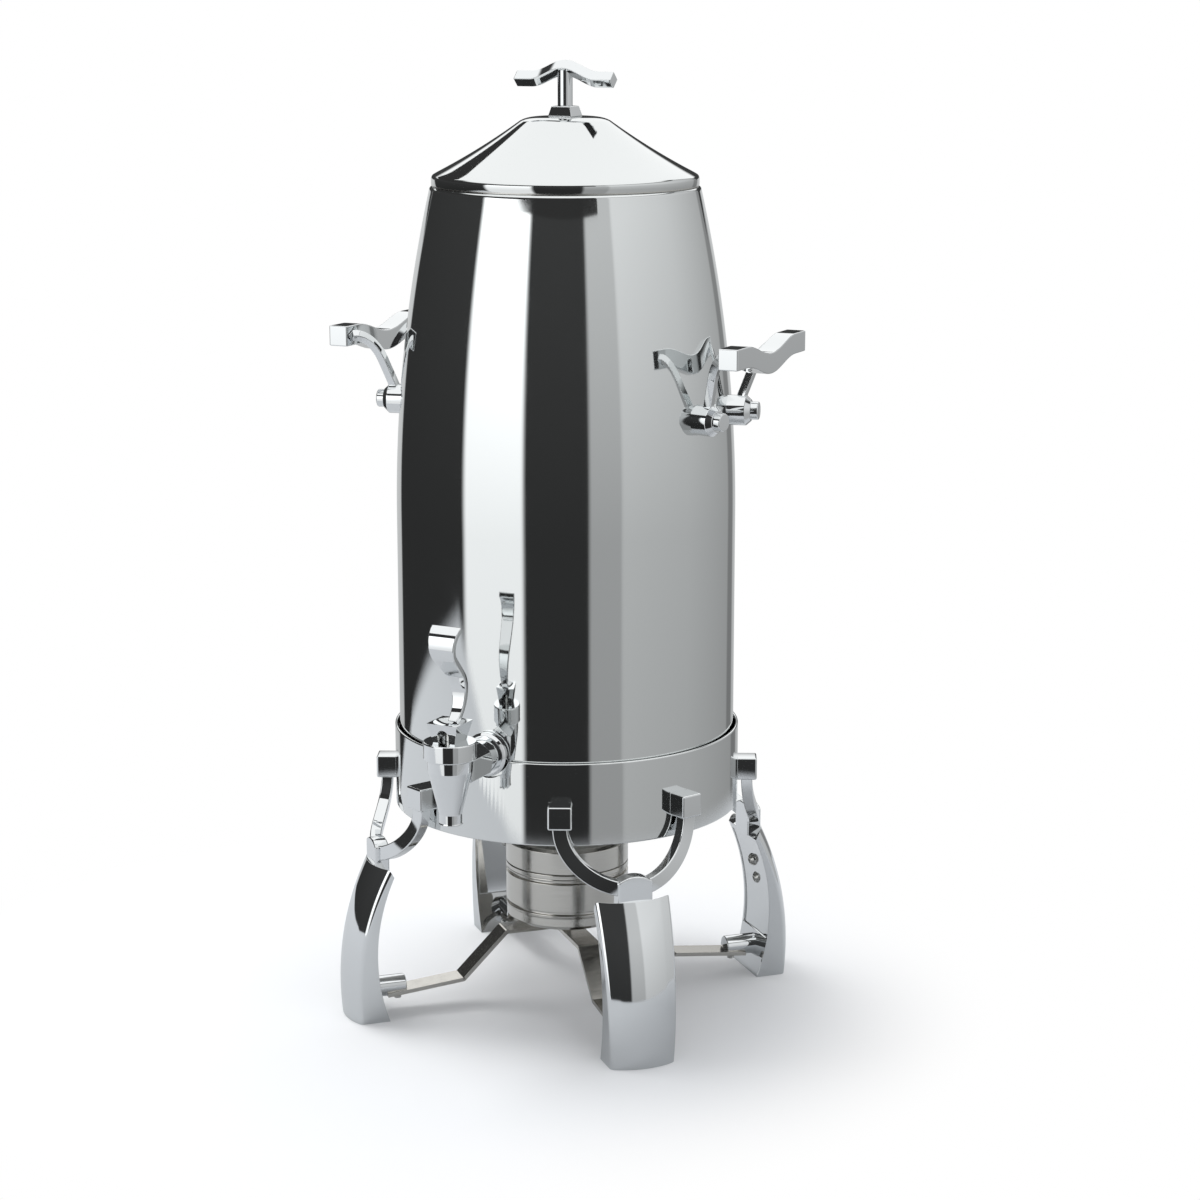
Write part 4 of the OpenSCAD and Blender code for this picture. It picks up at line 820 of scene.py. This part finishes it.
# %% Stand ring
def rod(radius_mm, depth_mm, place_mm, sides=96, lean=(0, 0, 0)):
    begin()
    bpy.ops.mesh.primitive_cylinder_add(
        vertices=sides, radius=radius_mm*MM, depth=depth_mm*MM,
        location=[v*MM for v in place_mm], rotation=[math.radians(a) for a in lean])
    return settle(bpy.context.object)


def carve(piece, tool, operation="DIFFERENCE"):
    change(piece, "BOOLEAN", operation=operation, object=tool, solver="EXACT")
    bpy.data.objects.remove(tool)


BAND_IN, BAND_OUT, BAND_Z, BAND_TOP = 127.8, 129.0, 155.0, 215.0
TAP_R, TAP_Z, NOTCH_R = 183.0, 219.5, 17.8
band_profile = [(BAND_IN, BAND_Z), (BAND_OUT, BAND_Z), (BAND_OUT, BAND_TOP), (BAND_IN, BAND_TOP)]
band = turned("stand_ring_polished", eased(band_profile, 0.5), steps=256)
carve(band, rod(NOTCH_R, 40, (0, -BAND_OUT, TAP_Z), lean=(90, 0, 0)))
hand_over(band, "stand", polished_sheet, "mirror_steel", "stand_band")

# %% [markdown]
# ## Blocks
# Eight square blocks carry the yokes. They are short pieces of square bar
# with small bright chamfers. Each is made in front of the +X axis and swung
# round to its place, two for each leg.

# %% Blocks
LEG_TURNS = {"front_right": -45, "front_left": -135, "rear_right": 45, "rear_left": 135}
BLOCK_TURN, BLOCK_Z, BLOCK_REACH = 20.6, 170.5, 136.2
BLOCK_D, BLOCK_W, BLOCK_H = 15.6, 17.5, 17
blocks = []
for leg_turn in LEG_TURNS.values():
    for side in (-1, 1):
        block = box("block", (BLOCK_D, BLOCK_W, BLOCK_H), (BLOCK_REACH, 0, BLOCK_Z + BLOCK_H/2))
        round_edges(block, 1.4)
        block.rotation_euler = (0, 0, math.radians(leg_turn + side*BLOCK_TURN))
        blocks.append(settle(block))
all_blocks = join(blocks, "ring_blocks_polished")
hand_over(all_blocks, "stand", polished_casting, "mirror_steel", "band_blocks")

# %% [markdown]
# ## Yokes
# A yoke is a half ring of flat-sided bar that hangs from two blocks. It
# swings outwards as it drops and twists from one block's facing to the
# other's. It ends in a saddle with an arched top that sits on the leg.

# %% Yokes
YOKE_R, YOKE_DROP, SADDLE_R = 136.5, 43.5, 148.97
YOKE_W, YOKE_T, YOKE_TOP = 8.5, 10.8, BLOCK_Z + 5
yoke_side, yoke_out = YOKE_R*sine(BLOCK_TURN), YOKE_R*cosine(BLOCK_TURN)
yoke_line = [(yoke_out, yoke_side, YOKE_TOP)]
facing = [(cosine(BLOCK_TURN), sine(BLOCK_TURN), 0)]
for k in range(65):
    angle = math.pi*k/64
    twist = math.radians(BLOCK_TURN)*math.cos(angle)
    facing.append((math.cos(twist), math.sin(twist), 0))
    yoke_line.append((yoke_out + (SADDLE_R - yoke_out)*math.sin(angle)**2,
                      yoke_side*math.cos(angle), BLOCK_Z - YOKE_DROP*math.sin(angle)))
yoke_line.append((yoke_out, -yoke_side, YOKE_TOP))
facing.append(facing[-1])
bow = bar("bow", yoke_line, facing, YOKE_W, YOKE_T)
round_edges(bow, 0.9)

SADDLE_LOW, SADDLE_HIGH, SADDLE_ARCH = 112, 137, 4
saddle = sliced_cube("saddle", (0, 12, 0))
for point in saddle.data.vertices:
    x, y, z = point.co
    level = SADDLE_LOW if z < 0 else SADDLE_HIGH - SADDLE_ARCH*y*y
    point.co = Vector((SADDLE_R + x*5.5, y*13, level))*MM
round_edges(saddle, 1.1)
yoke = join([bow, saddle], "yoke_model")
for leg_name, leg_turn in LEG_TURNS.items():
    one = turn_copy(yoke, f"{leg_name}_yoke_polished", leg_turn)
    hand_over(one, "stand", polished_casting, "mirror_steel", f"yoke_{leg_name}")
bpy.data.objects.remove(yoke)

# %% [markdown]
# ## Legs
# A leg is one casting. Seen from the side, its front follows one long curve
# and its back another. Across, the front is crowned, so the studio's bands
# run down it as in a bottle, and its two long corners have a wide round. The
# back has a shallow recess. It starts as a cube cut both ways, the recess is
# pushed in, and then every point is moved onto the curves. The columns of
# points on the front are drawn in a little first, which leaves room for the
# wide corners.

# %% Legs
LEG_OUT, LEG_ARC, BULGE_Z, CROWN_R = 178.0, 216.0, 25.0, 52.0
LEG_IN, INNER_ARC, INNER_Z = 157.0, 150.0, 52.0
LEG_BACK_H, LEG_FRONT_H, LEG_FOOT_W, LEG_TOP_W = 113, 119, 49, 57
RECESS_SHARE, DRAWN_IN = 0.667, 0.78


def leg_front(t, z):
    reach = LEG_ARC - CROWN_R + math.sqrt(CROWN_R**2 - t*t)
    return LEG_OUT - LEG_ARC + math.sqrt(reach**2 - (z - BULGE_Z)**2)


def leg_back(z):
    return LEG_IN - INNER_ARC + math.sqrt(INNER_ARC**2 - (z - INNER_Z)**2)


def in_recess(face):
    x, y, z = face.center
    return face.normal.x < -0.9 and abs(y) < 0.93 and -0.46 < z < 0.9


def on_front_corner(line):
    ends = [leg.data.vertices[number].co for number in line.vertices]
    return all(end.x > 0.99 and abs(end.y) > 0.99 for end in ends)


leg = sliced_cube("leg_model", (3, 19, 47))
select_only(leg, "FACE", in_recess)
bpy.ops.mesh.extrude_region_move(TRANSFORM_OT_translate={"value": (0.2, 0, 0)})
select_only(leg, "EDGE", on_front_corner)
bpy.ops.object.mode_set(mode="OBJECT")
for point in leg.data.vertices:
    depth, side, rise = (point.co.x + 1)/2, point.co.y, (point.co.z + 1)/2
    if 0.01 < depth < 0.99:
        depth *= RECESS_SHARE
    if abs(side) < 0.99 and depth > 0.99:
        side *= DRAWN_IN
    z = rise*(LEG_BACK_H + (LEG_FRONT_H - LEG_BACK_H)*depth)
    t = side*(LEG_FOOT_W + (LEG_TOP_W - LEG_FOOT_W)*z/LEG_FRONT_H)/2
    back = leg_back(z)
    point.co = Vector((back + (leg_front(t, z) - back)*depth, t, z))*MM
bpy.ops.object.mode_set(mode="EDIT")
bpy.ops.mesh.bevel(offset=5*MM, segments=6, affect="EDGES", clamp_overlap=True)
bpy.ops.object.mode_set(mode="OBJECT")
round_edges(leg, 1.8, segments=3, angle=40)
for leg_name, leg_turn in LEG_TURNS.items():
    one = turn_copy(leg, f"{leg_name}_leg_polished", leg_turn)
    hand_over(one, "stand", polished_casting, "mirror_steel", f"leg_{leg_name}")
bpy.data.objects.remove(leg)

# %% [markdown]
# ## Leg screws
# Two button-head screws hold each yoke's tongue from inside the leg. The
# head is turned, and a hexagonal socket is cut into it. The heads stand on
# the slanted floor of the leg's recess, so they lean as it does.

# %% Leg screws
SCREW_R, SCREW_H, SOCKET_R, SOCKET_DEEP = 4.6, 4.4, 2, 4
recess_top, recess_low = Vector((153.15, 0, 113)), Vector((165.71, 0, 66))
lean = math.atan2(recess_low.x - recess_top.x, recess_top.z - recess_low.z)
inward = Vector((math.cos(lean), 0, math.sin(lean)))
head_profile = [(0, 0.2), (SCREW_R, 0.2), (SCREW_R, -SCREW_H/2), (2.8, -SCREW_H), (0, -SCREW_H)]
screws = []
for leg_turn in LEG_TURNS.values():
    for up_share in (0.19, 0.51):
        head = turned("screw_head", eased(head_profile, 0.6, closed=False), steps=40, closed=False)
        carve(head, rod(SOCKET_R, SOCKET_DEEP, (0, 0, -SCREW_H), sides=6))
        head.rotation_euler = (0, math.radians(90) - lean, 0)
        settle(head)
        head.location = (recess_low.lerp(recess_top, up_share) - inward*SCREW_H)*MM
        settle(head)
        head.rotation_euler = (0, 0, math.radians(leg_turn))
        screws.append(settle(head))
leg_screws = join(screws, "leg_screws_bright")
hand_over(leg_screws, "stand", plain_steel, "brushed_steel", "leg_screws")

# %% [markdown]
# ## Bosses and straps
# Two flat straps cross under the burner, bent like a hat: low at the legs,
# raised in the middle. Their ends sit in round bosses on the legs. Through
# the easing's fault the raised part lies 6 mm lower here than in the solids.

# %% Bosses and straps
boss_profile = eased([(0, 129.5), (8.5, 129.5), (8.5, 156.5), (0, 156.5)], 1.6, closed=False)
bosses = ring_of("strap_bosses_polished", boss_profile, 56, list(LEG_TURNS.values()), 19.8)
hand_over(bosses, "stand", polished_casting, "mirror_steel", "strap_bosses")

STRAP_END, STRAP_FOOT, STRAP_HEAD = 145, 82, 55
STRAP_W, STRAP_T, STRAP_LOW = 18, 3, 14.5


def strap(name, degrees, under):
    high = under + STRAP_T/2
    corners = [(-STRAP_END, STRAP_LOW), (-STRAP_FOOT, STRAP_LOW), (-STRAP_HEAD, high),
               (STRAP_HEAD, high), (STRAP_FOOT, STRAP_LOW), (STRAP_END, STRAP_LOW)]
    line = [(x, 0, z) for x, z in eased(corners, 7, closed=False, steps=6)]
    made = bar(name, line, (0, 1, 0), STRAP_W, STRAP_T)
    round_edges(made, 0.5, segments=2)
    made.rotation_euler = (0, 0, math.radians(degrees))
    return settle(made)


hand_over(strap("lower_strap_satin", -45, 56), "stand", satin_strap, "brushed_steel", "lower_strap")
hand_over(strap("upper_strap_satin", -135, 59), "stand", satin_strap, "brushed_steel", "upper_strap")

# %% [markdown]
# ## Burner
# A dish on the straps, a cup that stands in it and a cover with a round
# opening for the flame. All three are spun from thin satin steel, with a
# bead where one meets the next.

# %% Burner
dish_line = [(0, 62), (42, 62), (46, 65), (46, 71.2), (46.0, 72.7), (44.9, 72.7), (44.9, 66),
             (42.4, 63.2), (0, 63.2)]
dish = turned("burner_dish_satin", eased(dish_line, 0.9, closed=False), closed=False)
hand_over(dish, "stand", satin_turned, "brushed_steel", "fuel_dish")
cup_line = [(0, 65), (44.6, 65), (44.6, 72.75), (45.9, 72.75), (46, 73.6), (45.2, 74.6), (45.2, 76),
            (46, 77), (46, 98), (45.2, 99.2), (45.2, 100.4), (46, 101.4), (46, 102.1), (45, 102.2),
            (45, 106.2), (44, 106.2), (44, 66), (0, 66)]
cup = turned("burner_cup_satin", eased(cup_line, 0.35, closed=False, steps=3), closed=False)
hand_over(cup, "fuel_holder", satin_turned, "brushed_steel", "fuel_cup")
cover_line = [(45.3, 102.6), (46, 102.6), (46, 105.2), (45.4, 106), (46, 106.8), (46, 122.7),
              (44, 124.7), (30, 124.7), (30, 123.7), (43.5, 123.7), (45.3, 122)]
cover = turned("burner_cover_satin", eased(cover_line, 0.4))
hand_over(cover, "cover", satin_turned, "brushed_steel", "fuel_cover")

# %% [markdown]
# ## Tap
# The valve body is a casting turned to shape: an outlet tip, a cone, a short
# straight part and a neck for the bonnet. A six-sided barrel joins it from
# behind. The barrel is turned with a chamfered end, and a Boolean with a
# six-sided rod leaves the flats. Another clears the bonnet's place.

# %% Valve body, barrel and bonnet
def to_tap(piece):
    piece.location = (0, -TAP_R*MM, 0)
    return settle(piece)


valve_line = [(5.5, 206), (5.5, 182.8), (8.0, 182.8), (8.2, 183.6), (8.2, 190.2), (15.8, 221.2),
              (15.8, 230.2), (12.8, 230.2), (12.8, 237.8), (9.9, 237.8), (9.9, 206)]
valve = to_tap(turned("valve_cone", eased(valve_line, 0.5), steps=128))
barrel_line = [(0, 144.3), (12.4, 144.3), (15.2, 147.1), (15.2, 175.2), (0, 175.2)]
barrel = turned("valve_barrel", barrel_line, steps=96, closed=False)
carve(barrel, rod(15, 60, (0, 0, 160), sides=6, lean=(0, 0, 30)), "INTERSECT")
round_edges(barrel, 0.6, angle=25)
lay_along_x(barrel, TAP_Z, -90)
BONNET_R, BONNET_LOW = 18.4, 230.45
carve(barrel, rod(BONNET_R + 0.15, 20, (0, -TAP_R, 240.2)))
valve = join([valve, barrel], "valve_body_polished")
hand_over(valve, "urn", polished_casting, "mirror_steel", "tap_valve_body")

bonnet_line = [(12.9, BONNET_LOW), (BONNET_R, BONNET_LOW), (BONNET_R, 242.2), (3.9, 242.2),
               (3.9, 238), (12.9, 238)]
bonnet = to_tap(turned("bonnet_polished", eased(bonnet_line, 0.5), steps=128))
hand_over(bonnet, "urn", polished_casting, "mirror_steel", "tap_bonnet")

# %% [markdown]
# Between the barrel and the wall are a sleeve and a flange, both turned.

# %% Sleeve and flange
sleeve_line = [(7.1, 131.6), (12, 131.6), (12, 144.4), (7.1, 144.4)]
sleeve = turned("tap_sleeve_polished", eased(sleeve_line, 0.4), steps=96)
hand_over(lay_along_x(sleeve, TAP_Z, -90), "urn", polished_casting, "mirror_steel", "tap_spacer")
flange_line = [(7.1, 126.7), (15.6, 126.7), (15.6, 130.0), (14.0, 131.7), (7.1, 131.7)]
flange = turned("tap_flange_polished", eased(flange_line, 0.5), steps=96)
hand_over(lay_along_x(flange, TAP_Z, -90), "urn", polished_casting, "mirror_steel", "tap_flange")

# %% [markdown]
# ## Lever
# The crown is a hollow square block that widens upwards. Its top is dished,
# and an arch runs through it from front to back. The blade grows out of the
# dish in an S and widens towards its tip. Pulled forward, the crown rocks on
# its front edge and lifts the valve's stem.

# %% Lever crown
CROWN_Z, CROWN_H, CROWN_LOW_W, CROWN_TOP_W = 242.6, 14, 17, 24
DISH_R, DISH_DEEP = 20.4, 3.78
crown = box("lever_crown", (CROWN_LOW_W, CROWN_LOW_W, CROWN_H), (0, -TAP_R, CROWN_Z + CROWN_H/2))
scale_top(crown, CROWN_TOP_W/CROWN_LOW_W)
begin()
bpy.ops.mesh.primitive_uv_sphere_add(
    segments=96, ring_count=64, radius=DISH_R*MM,
    location=(0, -TAP_R*MM, (CROWN_Z + CROWN_H - DISH_DEEP + DISH_R)*MM))
carve(crown, bpy.context.object)
carve(crown, box("room_tool", (13.6, 11.9, 5.54), (0, -TAP_R, CROWN_Z + 5.77)))
carve(crown, rod(4.5, 40, (0, -TAP_R, CROWN_Z + 5.2), sides=64, lean=(90, 0, 0)))
carve(crown, box("slot_tool", (9, 40, 6.4), (0, -TAP_R, CROWN_Z + 2)))
round_edges(crown, 0.45, segments=2, angle=40)
print("crown faces:", len(crown.data.polygons))

# %% [markdown]
# The blade's line is two arcs that meet: a wide one below that leans back
# over the dish, and a tighter one above that leans forward at the tip.

# %% Lever blade
LOW_R, HIGH_R, LOW_SINE, TIP_SINE = 22.0, 13.0, 0.86, 0.92
BLADE_FOOT_W, BLADE_TIP_W, BLADE_T, BLADE_H = 7.5, 23, 4.4, 67
base_z, tip_z = CROWN_Z + CROWN_H - 2.2, CROWN_Z + CROWN_H + BLADE_H
low_centre = Vector((-LOW_R*0.7 + LOW_R, base_z + LOW_R*LOW_SINE))
high_centre = Vector((HIGH_R*0.73 - HIGH_R, tip_z - HIGH_R*TIP_SINE))
between = high_centre - low_centre
base_turn, tip_turn = -math.asin(LOW_SINE), -math.asin(TIP_SINE)
cross_turn = math.atan2(between.x, between.y) + math.asin((LOW_R + HIGH_R)/between.length)


def blade_width(z):
    up_share = max(0.0, (z - base_z)/(tip_z - base_z))
    return BLADE_FOOT_W + (BLADE_TIP_W - BLADE_FOOT_W)*up_share**1.15


blade_line = []
for k in range(25):
    a = base_turn + (cross_turn - base_turn)*k/24
    out, z = low_centre.x - LOW_R*math.cos(a), low_centre.y + LOW_R*math.sin(a)
    blade_line.append((0, -TAP_R - out, z))
for k in range(1, 25):
    a = cross_turn + (tip_turn - cross_turn)*k/24
    out, z = high_centre.x + HIGH_R*math.cos(a), high_centre.y - HIGH_R*math.sin(a)
    blade_line.append((0, -TAP_R - out, z))
blade = bar("lever_blade", blade_line, (1, 0, 0), [blade_width(z) for x, y, z in blade_line], BLADE_T)
round_edges(blade, 0.8)
lever = join([crown, blade], "lever_polished")
hand_over(lever, "lever", polished_casting, "mirror_steel", "tap_lever")

# %% [markdown]
# ## Spring
# The valve's spring is pressed between the stem's collar and the washer
# under the bonnet. It can't move as one stiff piece. It is made here as a
# bent wire, with a mesh of its own.

# %% Spring
SPRING_LOW, SPRING_HIGH, SPRING_R, WIRE, COILS = 214.97, 236.08, 6.47, 1.19, 5
spring_line = []
for k in range(121):
    a = 2*math.pi*COILS*k/120
    spring_line.append((SPRING_R*math.cos(a), SPRING_R*math.sin(a) - TAP_R,
                        SPRING_LOW + (SPRING_HIGH - SPRING_LOW)*k/120))
spring = bar("tap_spring_wire", spring_line, (0, 0, 1), WIRE, WIRE)
round_edges(spring, 0.4, segments=3)
hand_over(spring, "urn", plain_steel, "brushed_steel", "tap_spring")
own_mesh(spring)

# %% [markdown]
# ## Pieces that mostly stay hidden
# Screws, nuts, the vessel, the valve's insides and the fuel can keep their
# measured meshes, which come as loose triangles. A Weld joins them and an
# edge split keeps their corners sharp, so that they shade smoothly too. Each
# gets the finish that the real one has.

# %% Finishes for kept nodes
KEPT = {
    inner_steel: ["inner_vessel", "vessel_floor", "base_ring", "lid_collar", "support_ledge"],
    plain_steel: ["block_screws", "strap_screws", "strap_rivet", "handle_washers", "handle_nuts",
                  "tap_shank", "tap_wall_sleeve", "tap_lock_nut", "tap_stem_washer", "tap_stem",
                  "tap_lift_pin", "knob_screw"],
    silicone: ["tap_outer_gasket", "tap_inner_gasket", "tap_seat_cup"],
    tin: ["fuel_can"],
}
for finish, names in KEPT.items():
    for name in names:
        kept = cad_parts[name]
        kept.data.materials.clear()
        kept.data.materials.append(finish)
        kept.data.polygons.foreach_set("use_smooth", [True]*len(kept.data.polygons))
        weld = kept.modifiers.new("weld", "WELD")
        weld.merge_threshold = 1e-6
        split = kept.modifiers.new("corners", "EDGE_SPLIT")
        split.split_angle = math.radians(30)
print("kept nodes:", sum(len(names) for names in KEPT.values()))
